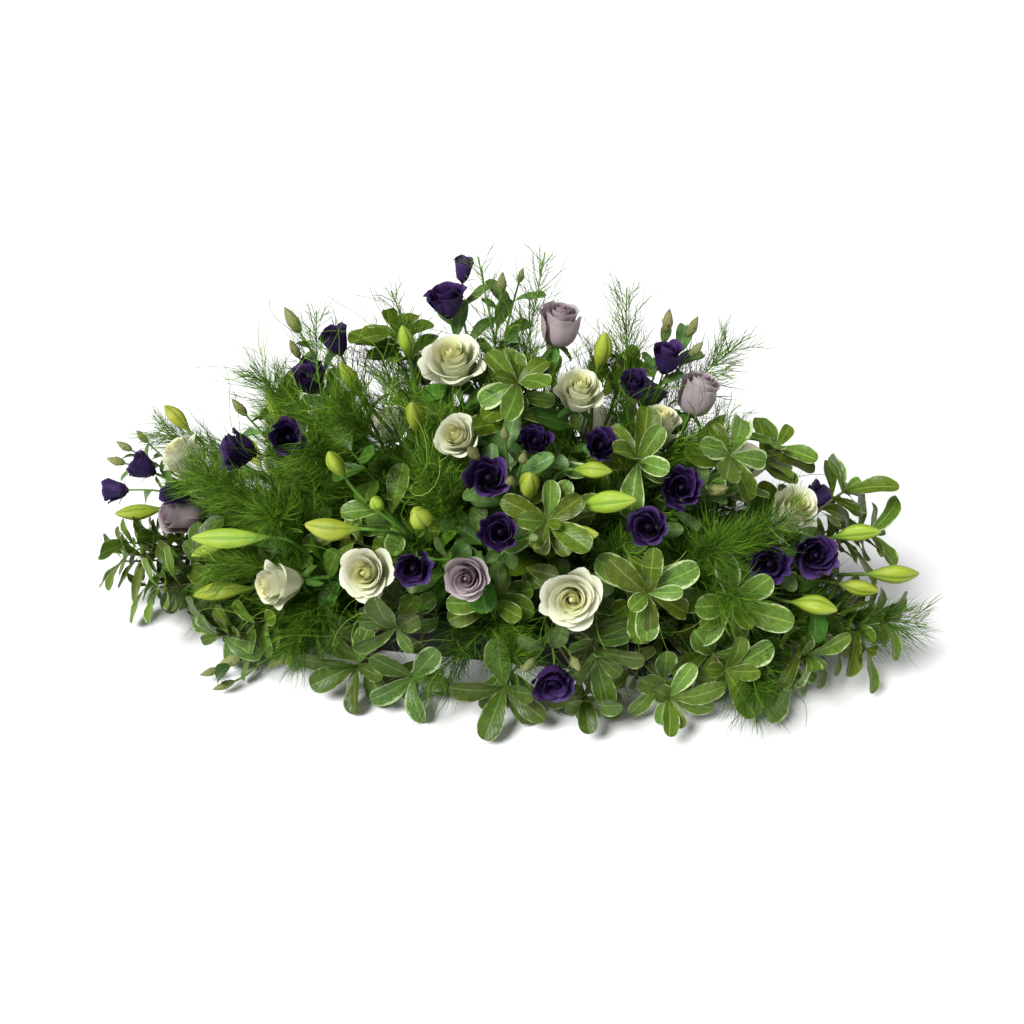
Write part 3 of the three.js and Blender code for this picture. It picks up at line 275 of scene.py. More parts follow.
# Asparagus fern: the tips that the plumes of each cut frond reach
FERNS = [
    [(-345, -95, 235), (-385, -60, 205), (-255, -125, 195)],
    [(-330, -150, 140), (-215, -195, 70)],
    [(-300, -20, 330), (-225, 10, 390), (-230, -75, 270)],
    [(-140, 20, 415), (-185, -70, 320)],
    [(-40, 20, 460), (30, 40, 462)],
    [(120, 60, 420), (250, 40, 372)],
    [(330, -80, 235), (270, -170, 175), (240, -135, 215)],
    [(484, -72, 92), (300, -190, 60)],
    [(-60, -225, 62), (40, -215, 100)],
    [(-330, 128, 185), (-470, 60, 195)],
]

# Sizes that repeat over the plants
ROSE_STEM = 2.6
FORKS = dict(
    lisianthus=dict(stem=1.7, shoot=1.2, steps=2, fork=0.55),
    lily=dict(stem=2.6, shoot=1.5, steps=2, fork=0.55),
    pittosporum=dict(stem=2.2, shoot=1.5, steps=2, fork=0.5),
    fern=dict(stem=1.6, shoot=1, steps=4, fork=0.45),
)
BUD_WIDE = 0.36
SPRIG_LEAF = dict(count=6, long=72, wide=32, spread=0.95, outline=(1.1, 5))
LILY_LEAF = dict(count=4, long=88, wide=20, spread=0.8, outline=(0.6, 2))

# The stem of the low closed buds forks nearer to them
LOW_BUDS, LOW_FORK = "lisianthus_7", 0.8

# Fern: the joints of a plume and where they stand, its twigs' length and twist, and the shares of a twig
# at which it is checked for room
JOINTS, NEEDLE_LONG, NEEDLE_TWIST = 6, 46, 0.7
FIRST_JOINT, JOINTS_SPAN = 0.12, 0.82
NEEDLE_CHECKS = (0.12, 0.24, 0.36, 0.48, 0.6, 0.72, 0.86, 1)

# The ball that keeps room for the middle of a whorl
KNOB_HIGH, KNOB_ROOM = 4, 9

# Leaves, petals and ribs follow each other by the golden angle, in radians
GOLDEN = 2.4

# What a shoot, a leaf and a twig try in turn while they look for room
BOWS, BOW_TURNS = (0, 0.12, 0.24, 0.36, 0.5, 0.65), 8
SWINGS, LIFTS = (0, 0.25, -0.25, 0.5, -0.5), (0, -0.22, 0.22, -0.45, 0.45, -0.7)
LEANS = (0, 0.35, -0.35, 0.7, -0.7)

# Where the draws of each sort's leaves and twigs start
LEAF_SEEDS = dict(pittosporum=104, lily=200, fern=300)


# Vectors are plain tuples of three numbers while the plants find their room
def add(a, b, k=1.0):
    return (a[0] + b[0] * k, a[1] + b[1] * k, a[2] + b[2] * k)


def sub(a, b):
    return (a[0] - b[0], a[1] - b[1], a[2] - b[2])


def scale(a, k):
    return (a[0] * k, a[1] * k, a[2] * k)


def dot(a, b):
    return a[0] * b[0] + a[1] * b[1] + a[2] * b[2]


def cross(a, b):
    return (a[1] * b[2] - a[2] * b[1], a[2] * b[0] - a[0] * b[2], a[0] * b[1] - a[1] * b[0])


def size(a):
    return math.sqrt(dot(a, a))


def unit(a):
    return scale(a, 1 / size(a))


def mix(a, b, t):
    return add(scale(a, 1 - t), b, t)


def clamp(x, low, high):
    return min(high, max(low, x))


def whole(x):
    """The nearest whole number."""
    return math.floor(x + 0.5)


def sides_of(axis):
    """Two directions square to an axis."""
    level = (0, 0, 1) if abs(axis[2]) < 0.9 else (1, 0, 0)
    u = unit(cross(level, axis))
    return u, cross(axis, u)


def draws_from(seed):
    """Seeded draws from 0 to 1, the same on every run."""
    most = 2147483647
    state = (seed * 7919) % most

    def draw():
        nonlocal state
        state = (state * 48271) % most
        return state / most

    return draw


class Space:
    """The space that the plants take up, as balls (x, y, z, radius) kept in cells."""

    def __init__(self, cell):
        self.cell = cell
        self.cells = {}

    def keys_of(self, ball):
        x, y, z, r = ball
        c = self.cell
        return [
            (i, j, k)
            for i in range(math.floor((x - r) / c), math.floor((x + r) / c) + 1)
            for j in range(math.floor((y - r) / c), math.floor((y + r) / c) + 1)
            for k in range(math.floor((z - r) / c), math.floor((z + r) / c) + 1)
        ]

    def take(self, balls, owner=""):
        for ball in balls:
            for key in self.keys_of(ball):
                self.cells.setdefault(key, []).append((*ball, owner))

    def is_clear(self, balls, owner=""):
        cells = self.cells
        for ball in balls:
            x, y, z, r = ball
            for key in self.keys_of(ball):
                for bx, by, bz, br, other in cells.get(key, ()):
                    if owner and other == owner:
                        continue
                    if (x - bx) ** 2 + (y - by) ** 2 + (z - bz) ** 2 < (r + br) ** 2:
                        return False
        return True


space = Space(18)


def is_off_tray(ball):
    """True for a ball above the table and clear of the tray."""
    x, y, z, r = ball
    margin = ROOM["side"] + r
    in_tray = abs(x) < TRAY["long"] / 2 + margin and abs(y) < TRAY["deep"] / 2 + margin
    return z - r > TABLE_CLEAR and not (in_tray and z < TRAY["tall"] + ROOM["top"] + r)


def is_outside(ball):
    """True for a ball that is clear of the foam as well."""
    x, y, z, r = ball
    margin = ROOM["top"] + r
    in_foam = abs(x) < FOAM["long"] / 2 + margin and abs(y) < FOAM["deep"] / 2 + margin
    return is_off_tray(ball) and not (in_foam and z < FOAM_TOP + margin)


def curve(p0, p1, p2, p3, steps):
    """Points of a cubic curve, with its directions."""
    out = []
    for i in range(steps + 1):
        t = i / steps
        s = 1 - t
        near, far = add(scale(p0, s * s * s), p1, 3 * s * s * t), scale(p2, 3 * s * t * t)
        p = add(near, add(far, p3, t * t * t))
        d = add(add(scale(sub(p1, p0), s * s), sub(p2, p1), 2 * s * t), sub(p3, p2), t * t)
        out.append((p, unit(d)))
    return out


def balls_along(path, radius):
    """Balls along a path of points."""
    balls = []
    for (a, _), (b, _) in zip(path, path[1:]):
        n = max(1, whole(size(sub(b, a)) / ROOM["check"]))
        balls += [(*mix(a, b, k / n), radius) for k in range(1, n + 1)]
    return balls


def source_for(target, along=0, across=0):
    """Where a stem aimed at `target` comes from, moved along and across the foam."""
    x = clamp(target[0] * ALONG_SHARE, -MOST_ALONG, MOST_ALONG) + along
    y = clamp(target[1] * ACROSS_SHARE, -MOST_ACROSS, MOST_ACROSS) + across
    return (clamp(x, -HALF_LONG, HALF_LONG), clamp(y, -HALF_DEEP, HALF_DEEP), SOURCE_TALL)


class Stem:
    """A way through space: its points, and the curve that they lie on."""

    def __init__(self, path, bends, foot=None):
        self.path, self.bends, self.foot = path, bends, foot

    def fine(self, steps):
        """The smooth way, as arrays of points and directions, from its foot in the foam if it has one."""
        made = curve(*self.bends, steps)
        if self.foot:
            made = [self.foot] + made
        return np.array([p for p, _ in made]), np.array([d for _, d in made])


def stem_path(target, face, along, across, steps):
    """The cut stem from inside the foam to `target`, arriving along `face`."""
    source = source_for(target, along, across)
    aim = sub(target, source)
    start = unit((aim[0], aim[1], max(aim[2], LEAST_RISE * size(aim))))
    halves = (FOAM["long"] * 0.5, FOAM["deep"] * 0.5)
    walls = (*map(math.copysign, halves, start), FOAM_TOP)
    ways = [(wall - s) / d if d else -1 for wall, s, d in zip(walls, source, start)]
    reach = min(t for t in ways if t > 0)
    foot = add(source, start, reach - STEM_DEPTH)
    mouth = add(source, start, reach + STEM_OUT)
    far = size(sub(target, mouth))
    bends = (mouth, add(mouth, start, 0.35 * far), add(target, face, -0.3 * far), target)
    return Stem([(foot, start), *curve(*bends, steps)], bends, (foot, start))


def find_stem(name, target, face, radius, steps=3):
    """The first free way for a stem, trying sources ever further from the best one."""
    for ring in range(MOVES + 1):
        for i in range(-ring, ring + 1):
            for j in range(-ring, ring + 1):
                if max(abs(i), abs(j)) != ring:
                    continue
                stem = stem_path(target, face, i * STEP_ALONG, j * STEP_ACROSS, steps)
                balls = balls_along(stem.path, radius + ROOM["stem"])
                if all(map(is_off_tray, balls)) and space.is_clear(balls, name):
                    space.take(balls, name)
                    return stem
    raise RuntimeError(f"{name} finds no clear way into the foam")


def side_shoot(name, starts, target, face, radius, steps):
    """A side shoot from its own stem to `target`, arriving along `face`. It tries ever wider bows,
    and starts ever lower on the stem."""
    for start, heading in starts:
        far = size(sub(target, start))
        straight = unit(sub(target, start))
        u, w = sides_of(straight)
        leave = unit(add(straight, heading, 0.6))
        for reach in BOWS:
            for k in range(BOW_TURNS if reach else 1):
                turn = 2 * math.pi * k / BOW_TURNS
                bow = scale(add(scale(u, math.cos(turn)), w, math.sin(turn)), reach * far)
                bends = (
                    start,
                    add(add(start, leave, 0.35 * far), bow),
                    add(add(target, face, -0.35 * far), bow),
                    target,
                )
                path = curve(*bends, steps)
                balls = balls_along(path, radius + ROOM["shoot"])
                if all(map(is_outside, balls)) and space.is_clear(balls, name):
                    space.take(balls, name)
                    return Stem(path, bends)
    raise RuntimeError(f"{name} finds no way to {target}")


def blade_width(outline, s):
    """A blade's width at share `s` of its length, as a share of its full width."""
    foot, tip = outline
    x = np.clip(s, 0, 1)
    widest = (2 * foot / (2 * foot + tip)) ** (1 / tip)
    return x**foot * np.sqrt(1 - x**tip) / (widest**foot * math.sqrt(1 - widest**tip))


def blade_point(leaf, s, t):
    """A point of a leaf blade: at share `s` of its length, and `t` from -1 to 1 across it."""
    way, top, bend = leaf["way"], leaf["top"], leaf["bend"]
    turn = bend * s
    p = add(leaf["root"], way, math.sin(turn) / bend * leaf["long"])
    p = add(p, top, (math.cos(turn) - 1) / bend * leaf["long"])
    side = cross(way, top)
    normal = add(scale(top, math.cos(turn)), way, math.sin(turn))
    half = leaf["wide"] / 2 * float(blade_width(leaf["outline"], s))
    return add(add(p, side, t * half), normal, leaf["cup"] * t * t * half)


def blade_balls(leaf):
    """Balls that fill a leaf blade."""
    rows = max(3, whole(leaf["long"] / 8))
    shares = [0.18 + 0.82 * i / rows for i in range(rows + 1)]
    return [(*blade_point(leaf, s, t), 2.6) for s in shares for t in (-0.85, -0.43, 0, 0.43, 0.85)]


def place_leaf(root, axes, around, spread, rest):
    """Tries the leaf at small turns of its direction until it crosses nothing."""
    axis, u, w = axes
    for swing in SWINGS:
        for lift in LIFTS:
            a = around + swing
            b = clamp(spread + lift, 0.2, 1.75)
            out = add(scale(u, math.cos(a)), w, math.sin(a))
            way = add(scale(axis, math.cos(b)), out, math.sin(b))
            top = unit(add(axis, way, -dot(axis, way)))
            leaf = dict(root=root, way=way, top=top, **rest)
            taken = blade_balls(leaf)
            if all(map(is_outside, taken)) and space.is_clear(taken, leaf["name"]):
                space.take(taken)
                return leaf
    return None


def frames_on(path):
    """The frames of a path without twist: (point, direction, u, w) for each of its points."""
    u = sides_of(path[0][1])[0]
    frames = []
    for p, d in path:
        u = unit(add(u, d, -dot(u, d)))
        frames.append((p, d, u, cross(d, u)))
    return frames


def head_balls(head):
    """Balls that fill a bloom or a bud."""
    r = head["wide"] / 2
    if head["kind"] in ("rose", "lisianthus"):
        balls = [(-0.22, 0.78 * r), (0.12, 0.98 * r), (0.3, 0.94 * r)]
    else:
        shares = (-0.42, -0.24, -0.06, 0.12, 0.3, 0.44)
        balls = [(s, r * math.sqrt(1 - 4 * s * s) + 1.2) for s in shares]
    return [(*add(head["at"], head["axis"], s * head["tall"]), radius) for s, radius in balls]


def planned_heads():
    """Every bloom and bud of the plan, as one list."""
    rows = [(f"white_rose_{i + 1}", "rose", row) for i, row in enumerate(WHITE_ROSES)]
    rows += [(f"lilac_rose_{i + 1}", "rose", row) for i, row in enumerate(LILAC_ROSES)]
    for i, plant in enumerate(LISIANTHUS):
        rows += [(f"lisianthus_{i + 1}", "lisianthus", row) for row in plant["blooms"]]
        rows += [(f"lisianthus_{i + 1}", "closed", row) for row in plant["buds"]]
    for i, buds in enumerate(LILIES):
        rows += [(f"lily_{i + 1}", "lily", row) for row in buds]
    made = []
    for owner, kind, (at, face, tall, *wide) in rows:
        wide = wide[0] if wide else tall * BUD_WIDE
        made.append(dict(owner=owner, kind=kind, at=at, axis=unit(face), tall=tall, wide=wide))
    return made


def ease_apart(heads):
    """Heads that the plan puts too close push each other apart."""
    for _ in range(24):
        for i, a in enumerate(heads):
            for b in heads[i + 1 :]:
                if size(sub(a["at"], b["at"])) > 110:
                    continue
                most, push = 0, None
                for p in head_balls(a):
                    for q in head_balls(b):
                        apart = sub(p, q)
                        overlap = p[3] + q[3] - size(apart)
                        if overlap > most:
                            most, push = overlap, unit(apart)
                if push:
                    a["at"] = add(a["at"], push, most / 2)
                    b["at"] = add(b["at"], push, -most / 2)


heads = planned_heads()
ease_apart(heads)
for head in heads:
    head["foot"] = add(head["at"], head["axis"], -head["tall"] / 2)
    space.take(head_balls(head), head["owner"])


def heads_of(owner):
    """The blooms and buds of one plant."""
    return [head for head in heads if head["owner"] == owner]


def middle_of(points):
    """The mean of some points."""
    total = (0, 0, 0)
    for p in points:
        total = add(total, p)
    return scale(total, 1 / len(points))


def forked_stem(name, ends, form):
    """A forked stem: up to its fork, and from there a way to each of its ends (foot, axis)."""
    middle = middle_of([foot for foot, _ in ends])
    source = source_for(middle)
    fork = mix(source, middle, form["fork"])
    trunk = find_stem(name, fork, unit(sub(middle, source)), form["stem"], 2)
    starts = [trunk.path[-1], *reversed(trunk.path[2:-1])]
    shoots = [side_shoot(name, starts, foot, axis, form["shoot"], form["steps"]) for foot, axis in ends]
    lead = next(i for i, s in enumerate(shoots) if size(sub(s.path[0][0], trunk.path[-1][0])) < GAP)
    return dict(trunk=trunk, shoots=shoots, lead=lead)


def end_frame(plant, k):
    """The frame at the end of way `k` of a plant."""
    path = plant["trunk"].path
    if plant["shoots"]:
        way = plant["shoots"][k].path
        path = path + way[1:] if k == plant["lead"] else way
    return frames_on(path)[-1]


def each(sort, first_seed):
    """Every plant of one sort, with its name and its own draws."""
    names = [name for name in plants if name.startswith(sort)]
    for number, name in enumerate(names):
        yield name, plants[name], draws_from(first_seed + number)


plants = {}
for head in heads:
    if head["kind"] == "rose":
        trunk = find_stem(head["owner"], head["foot"], head["axis"], ROSE_STEM)
        plants[head["owner"]] = dict(trunk=trunk, shoots=[])
for sort, rows in (("lisianthus", LISIANTHUS), ("lily", LILIES)):
    for name in [f"{sort}_{i + 1}" for i in range(len(rows))]:
        ends = [(head["foot"], head["axis"]) for head in heads_of(name)]
        form = dict(FORKS[sort], fork=LOW_FORK) if name == LOW_BUDS else FORKS[sort]
        plants[name] = forked_stem(name, ends, form)
for i, whorls in enumerate(PITTOSPORUM):
    name = f"pittosporum_{i + 1}"
    ends = [(at, unit(face)) for at, face in whorls]
    plants[name] = forked_stem(name, ends, FORKS["pittosporum"])
    space.take([(*add(foot, axis, KNOB_HIGH), KNOB_ROOM) for foot, axis in ends], name)
for i, tips in enumerate(FERNS):
    name = f"fern_{i + 1}"
    middle = middle_of(tips)
    fork = mix(source_for(middle), middle, FORKS["fern"]["fork"])
    ends = [(tip, unit(add(sub(tip, fork), (0, 0, 20)))) for tip in tips]
    plants[name] = forked_stem(name, ends, FORKS["fern"])


def whorl_leaves(name, end, turn, sizes, draw):
    """The leaves of a whorl, without those that have no room."""
    p, d, u, w = end
    leaves = []
    for k in range(sizes["count"]):
        around = turn + 2 * math.pi * k / sizes["count"] + 0.3 * (draw() - 0.5)
        spread = sizes["spread"] + 0.35 * draw() + (0.2 if k % 2 else -0.1)
        grown = 0.8 + 0.3 * draw()
        rest = dict(
            name=name,
            long=sizes["long"] * grown,
            wide=sizes["wide"] * grown,
            bend=0.25 + 0.35 * draw(),
            cup=0.04,
            outline=sizes["outline"],
        )
        leaves.append(place_leaf(p, (d, u, w), around, spread, rest))
    return list(filter(None, leaves))


for name, plant, draw in each("pittosporum", LEAF_SEEDS["pittosporum"]):
    plant["whorls"] = []
    for k in range(len(plant["shoots"])):
        turn = draw() * 2 * math.pi / SPRIG_LEAF["count"]
        plant["whorls"].append(whorl_leaves(name, end_frame(plant, k), turn, SPRIG_LEAF, draw))
for name, plant, draw in each("lily", LEAF_SEEDS["lily"]):
    turn = draw() * 2 * math.pi / LILY_LEAF["count"]
    p, d = plant["trunk"].path[-2]
    end = frames_on([(add(p, d, -4), d), (p, d)])[-1]
    plant["whorls"] = [whorl_leaves(name, end, turn, LILY_LEAF, draw)]


def along_path(path, s):
    """A point and its direction at share `s` of a path."""
    at = clamp(s, 0, 1) * (len(path) - 1)
    i = min(len(path) - 2, math.floor(at))
    (p, d), (q, e) = path[i], path[i + 1]
    return mix(p, q, at - i), unit(mix(d, e, at - i))


def place_twig(name, p, axes, around, long):
    """A fern twig (foot, direction, length) in the first free direction, or None."""
    d, u, w = axes
    for lean in LEANS:
        a = around + lean
        out = add(scale(u, math.cos(a)), w, math.sin(a))
        ahead = unit(add(scale(d, 0.8), out, 0.7))
        balls = [(*add(p, ahead, t * long), 2.4 - 0.9 * t) for t in NEEDLE_CHECKS]
        if all(map(is_outside, balls)) and space.is_clear(balls, name):
            space.take(balls)
            return p, ahead, long
    return None


for name, plant, draw in each("fern", LEAF_SEEDS["fern"]):
    plant["twigs"] = []
    for k, shoot in enumerate(plant["shoots"]):
        below = plant["trunk"].path if k == plant["lead"] else shoot.path[:1]
        u0 = frames_on(below)[-1][2]
        for j in range(JOINTS):
            s = FIRST_JOINT + JOINTS_SPAN * j / (JOINTS - 1)
            p, d = along_path(shoot.path, s)
            side = unit(add(u0, d, -dot(u0, d)))
            turn = (j + 1) * NEEDLE_TWIST
            u = add(scale(side, math.cos(turn)), cross(d, side), math.sin(turn))
            for m in range(3):
                long = NEEDLE_LONG * (1.1 - 0.45 * s) * (0.75 + 0.5 * draw())
                around = math.pi * (2 * m + 1) / 3
                plant["twigs"].append((k, place_twig(name, p, (d, u, cross(d, u)), around, long)))

# The camera looks at the middle of the spray from its front, a little from the right and from above
VIEW_TURN, VIEW_LIFT = math.radians(9), math.radians(32)
VIEW_FAR, VIEW_HIGH, LENS = 1500, 150, 43.95
VIEW_BACK = np.array([
    math.sin(VIEW_TURN) * math.cos(VIEW_LIFT),
    -math.cos(VIEW_TURN) * math.cos(VIEW_LIFT),
    math.sin(VIEW_LIFT),
])
EYE = np.array([0, 0, VIEW_HIGH]) + VIEW_FAR * VIEW_BACK

# The lines of sight to the blooms and buds, and the room that each needs beside its line
head_space = Space(18)
for head in heads:
    head_space.take(head_balls(head), head["owner"])
SIGHT = np.array([head["at"] for head in heads]) - EYE
SIGHT_FAR = np.linalg.norm(SIGHT, axis=1)
SIGHT_END = 8
SIGHT_ROOM = np.array([head["wide"] * (0.42 if head["kind"] == "rose" else 0.36) for head in heads])

# Fern keeps well clear of these lines, but veils four roses
VEILED = ("white_rose_5", "white_rose_6", "white_rose_7", "white_rose_8")
VEIL_ROOM, CLEAR_ROOM = 0.3, 1.1
FERN_ROOM = np.array([VEIL_ROOM if head["owner"] in VEILED else CLEAR_ROOM for head in heads])

# No point of a leaf or needle comes nearer to the table than this
TABLE_REST = 0.4


def hides_a_head(points, room=1.0):
    """True if a point stands between the front view and a bloom or bud."""
    q = np.asarray(points) - EYE
    ahead = q @ (SIGHT / SIGHT_FAR[:, None]).T
    off = np.linalg.norm(q, axis=1)[:, None] ** 2 - ahead**2
    near = off < (room * SIGHT_ROOM * ahead / SIGHT_FAR) ** 2
    return bool((near & (ahead < SIGHT_FAR - SIGHT_END)).any())


def units(rows):
    """Arrays of directions, brought to length 1."""
    return rows / np.linalg.norm(rows, axis=-1, keepdims=True)


class Sheets:
    """The faces of one piece. Each point keeps its share along its blade, its place across it, a third
    value of its own, and its blade's tint."""

    def __init__(self):
        self.points, self.blades, self.tints, self.faces, self.kinds = [], [], [], [], []
        self.count = 0

    def put(self, points, blades, tint, faces, kind):
        """Adds points, and faces whose corners count from the first of them."""
        self.points.append(np.maximum(points, (-math.inf, -math.inf, TABLE_REST)))
        self.blades.append(blades)
        self.tints.append(np.broadcast_to(tint, len(points)))
        self.faces += (self.count + faces).tolist()
        self.kinds += [kind] * len(faces)
        self.count += len(points)

    def grid(self, points, values, tint, kind=0, closed=False):
        """Rows of points with their three values. Closed rows join their last point to their first."""
        n, m = points.shape[:2]
        index = np.arange(n * m).reshape(n, m)
        if closed:
            index = np.hstack([index, index[:, :1]])
        corners = (index[:-1, :-1], index[:-1, 1:], index[1:, 1:], index[1:, :-1])
        blades = np.stack([np.broadcast_to(value, (n, m)).ravel() for value in values], -1)
        self.put(points.reshape(-1, 3), blades, tint, np.stack(corners, -1).reshape(-1, 4), kind)

    def needles(self, feet, ways, tips, half, tints, kind):
        """Slim flat needles that leave their feet along `ways` and bend towards their tips."""
        u = units(np.cross(ways, np.where(np.abs(ways[:, 2:]) < 0.9, [[0.0, 0, 1]], [[1.0, 0, 0]])))
        turns = (40 * tints)[:, None]
        side = (u * np.cos(turns) + np.cross(ways, u) * np.sin(turns)) * half
        far = np.linalg.norm(tips - feet, axis=1)[:, None]
        middles = 0.35 * feet + 0.4 * (feet + ways * 0.6 * far) + 0.25 * tips
        points = np.stack([feet - side, feet + side, middles - 0.9 * side, middles + 0.9 * side, tips], 1)
        points = points.reshape(-1, 3)
        faces = 5 * np.arange(len(feet))[:, None, None] + np.array([[0, 1, 3], [0, 3, 2], [2, 3, 4]])
        self.put(points, np.zeros_like(points), np.repeat(tints, 5), faces.reshape(-1, 3), kind)


def make_piece(name, sheets, looks, slot, *nodes):
    """The mesh object of a piece, in metres, which rides on the spray."""
    mesh = bpy.data.meshes.new(name)
    mesh.from_pydata(np.concatenate(sheets.points) * 0.001, [], sheets.faces)
    for look in looks:
        mesh.materials.append(look)
    mesh.polygons.foreach_set("material_index", sheets.kinds)
    mesh.polygons.foreach_set("use_smooth", [True] * len(sheets.faces))
    blade = mesh.attributes.new("blade", "FLOAT_VECTOR", "POINT")
    blade.data.foreach_set("vector", np.concatenate(sheets.blades).ravel())
    tint = mesh.attributes.new("tint", "FLOAT", "POINT")
    tint.data.foreach_set("value", np.concatenate(sheets.tints))
    piece = bpy.data.objects.new(name, mesh)
    bpy.context.scene.collection.objects.link(piece)
    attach(piece, "root")
    if nodes:
        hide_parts(*nodes)


def swept_frames(directions):
    """Two directions square to each step of a path, without twist."""
    us = [np.array(sides_of(tuple(directions[0]))[0])]
    for d in directions:
        us.append(units(us[-1] - d * (us[-1] @ d)))
    return np.array(us[1:]), np.cross(directions, us[1:])


def tube(sheets, points, directions, radii, tint, kind=0, sides=6):
    """A round stem along a path."""
    us, ws = swept_frames(directions)
    turns = 2 * math.pi * np.arange(sides) / sides
    ring = us[:, None] * np.cos(turns)[:, None] + ws[:, None] * np.sin(turns)[:, None]
    radii = np.broadcast_to(radii, len(points))
    sheets.grid(points[:, None] + ring * radii[:, None, None], (0, 0, 1), tint, kind, closed=True)


def blade(sheets, leaf, rows, columns, tint, wave=0.0):
    """A leaf blade on the same surface as `blade_point`, with waved edges."""
    s = 1 - (1 - np.linspace(0, 1, rows + 1)[:, None]) ** 1.8
    t = np.linspace(-1, 1, 2 * columns + 1)[None, :]
    way, top, bend = np.array(leaf["way"]), np.array(leaf["top"]), leaf["bend"]
    turn = bend * s
    half = np.maximum(leaf["wide"] / 2 * blade_width(leaf["outline"], s), 0.5 * (s < 0.3))
    middle = way * (np.sin(turn) / bend)[..., None] + top * ((np.cos(turn) - 1) / bend)[..., None]
    normal = top * np.cos(turn)[..., None] + way * np.sin(turn)[..., None]
    lift = t * t * half * (leaf["cup"] + wave * np.sin(9 * s + 2.5 * np.sign(t) + 40 * tint))
    points = leaf["root"] + middle * leaf["long"] + np.cross(way, top) * (t * half)[..., None]
    sheets.grid(points + normal * lift[..., None], (s, t, half), tint, 1)


def round_axis(frame, radius, angle, height):
    """Points round the axis of a head's frame (foot, axis, u, w)."""
    foot, axis, u, w = frame
    out = u * np.cos(angle)[..., None] + w * np.sin(angle)[..., None]
    return foot + out * radius[..., None] + axis * height[..., None]


def petal(sheets, frame, form, tint, rows, columns):
    """One petal, on a surface round the head's axis. Its profile leaves the foot along the angles
    `bends` from the axis, and ends at the radius `lip` and the height `high`."""
    s0 = np.linspace(0, 1, 25)
    angles = np.radians(np.interp(s0, (0, 0.35, 0.75, 1), form["bends"]))
    halfway = (angles[1:] + angles[:-1]) / 2
    up = np.concatenate([[0], np.cumsum(np.cos(halfway))])
    out = np.concatenate([[0], np.cumsum(np.sin(halfway))])
    s = np.linspace(0, 1, rows + 1)[:, None]
    a = np.linspace(-1, 1, columns + 1)[None, :]
    s = s * (1 - form["drop"] * np.abs(a) ** form["blunt"])
    radius = form["base"] + (form["lip"] - form["base"]) * np.interp(s, s0, out / out[-1])
    height = form["low"] + (form["high"] - form["low"]) * np.interp(s, s0, up / up.max())
    ripple = form["ruffle"] * s**3 * np.sin(form["ripples"] * a * math.pi + form["phase"])
    rolled = ripple + form["roll"] * np.abs(a) ** 3 * s**2
    radius = radius * (1 + form["lap"] * a * s) + form["lip"] * rolled
    height = height + 0.5 * form["lip"] * ripple * np.cos(2 * a + form["phase"])
    angle = form["turn"] + a * form["half"] * (0.45 + 0.55 * s**0.7)
    sheets.grid(round_axis(frame, radius, angle, height), (s, a, form["depth"]), tint)


def sepals(sheets, frame, long, wide, spread, curl, draw):
    """Five narrow green sepals under a head."""
    foot, axis, u, w = frame
    for k in range(5):
        a = 2 * math.pi * (k + 0.3 * draw()) / 5
        b = spread + 0.3 * (draw() - 0.5)
        way = axis * math.cos(b) + (u * math.cos(a) + w * math.sin(a)) * math.sin(b)
        leaf = dict(root=foot - axis, way=way, top=units(axis - way * (axis @ way)), wide=wide)
        leaf.update(long=long * (0.85 + 0.3 * draw()), bend=curl, cup=0.3, outline=(0.45, 1.4))
        blade(sheets, leaf, 5, 1, draw())


def knots(x, *pairs):
    """A value between knots (x, value)."""
    return float(np.interp(x, *zip(*pairs)))


def heart(sheets, frame, radius, tall, tint):
    """The wrapped middle of a rose: a closed dome with a spiral crease."""
    s = 1 - (1 - np.linspace(0, 1, 13)[:, None]) ** 1.8
    turn = 2 * math.pi * np.arange(18)[None, :] / 18
    crease = np.cos(turn - 9 * s)
    out = radius * np.sqrt(1 - s**4) * (0.9 + 0.16 * crease) + 0.1
    points = round_axis(frame, out, turn, tall * s * (1 + 0.02 * crease))
    sheets.grid(points, (0.5 + 0.5 * s, crease, 0), tint, closed=True)


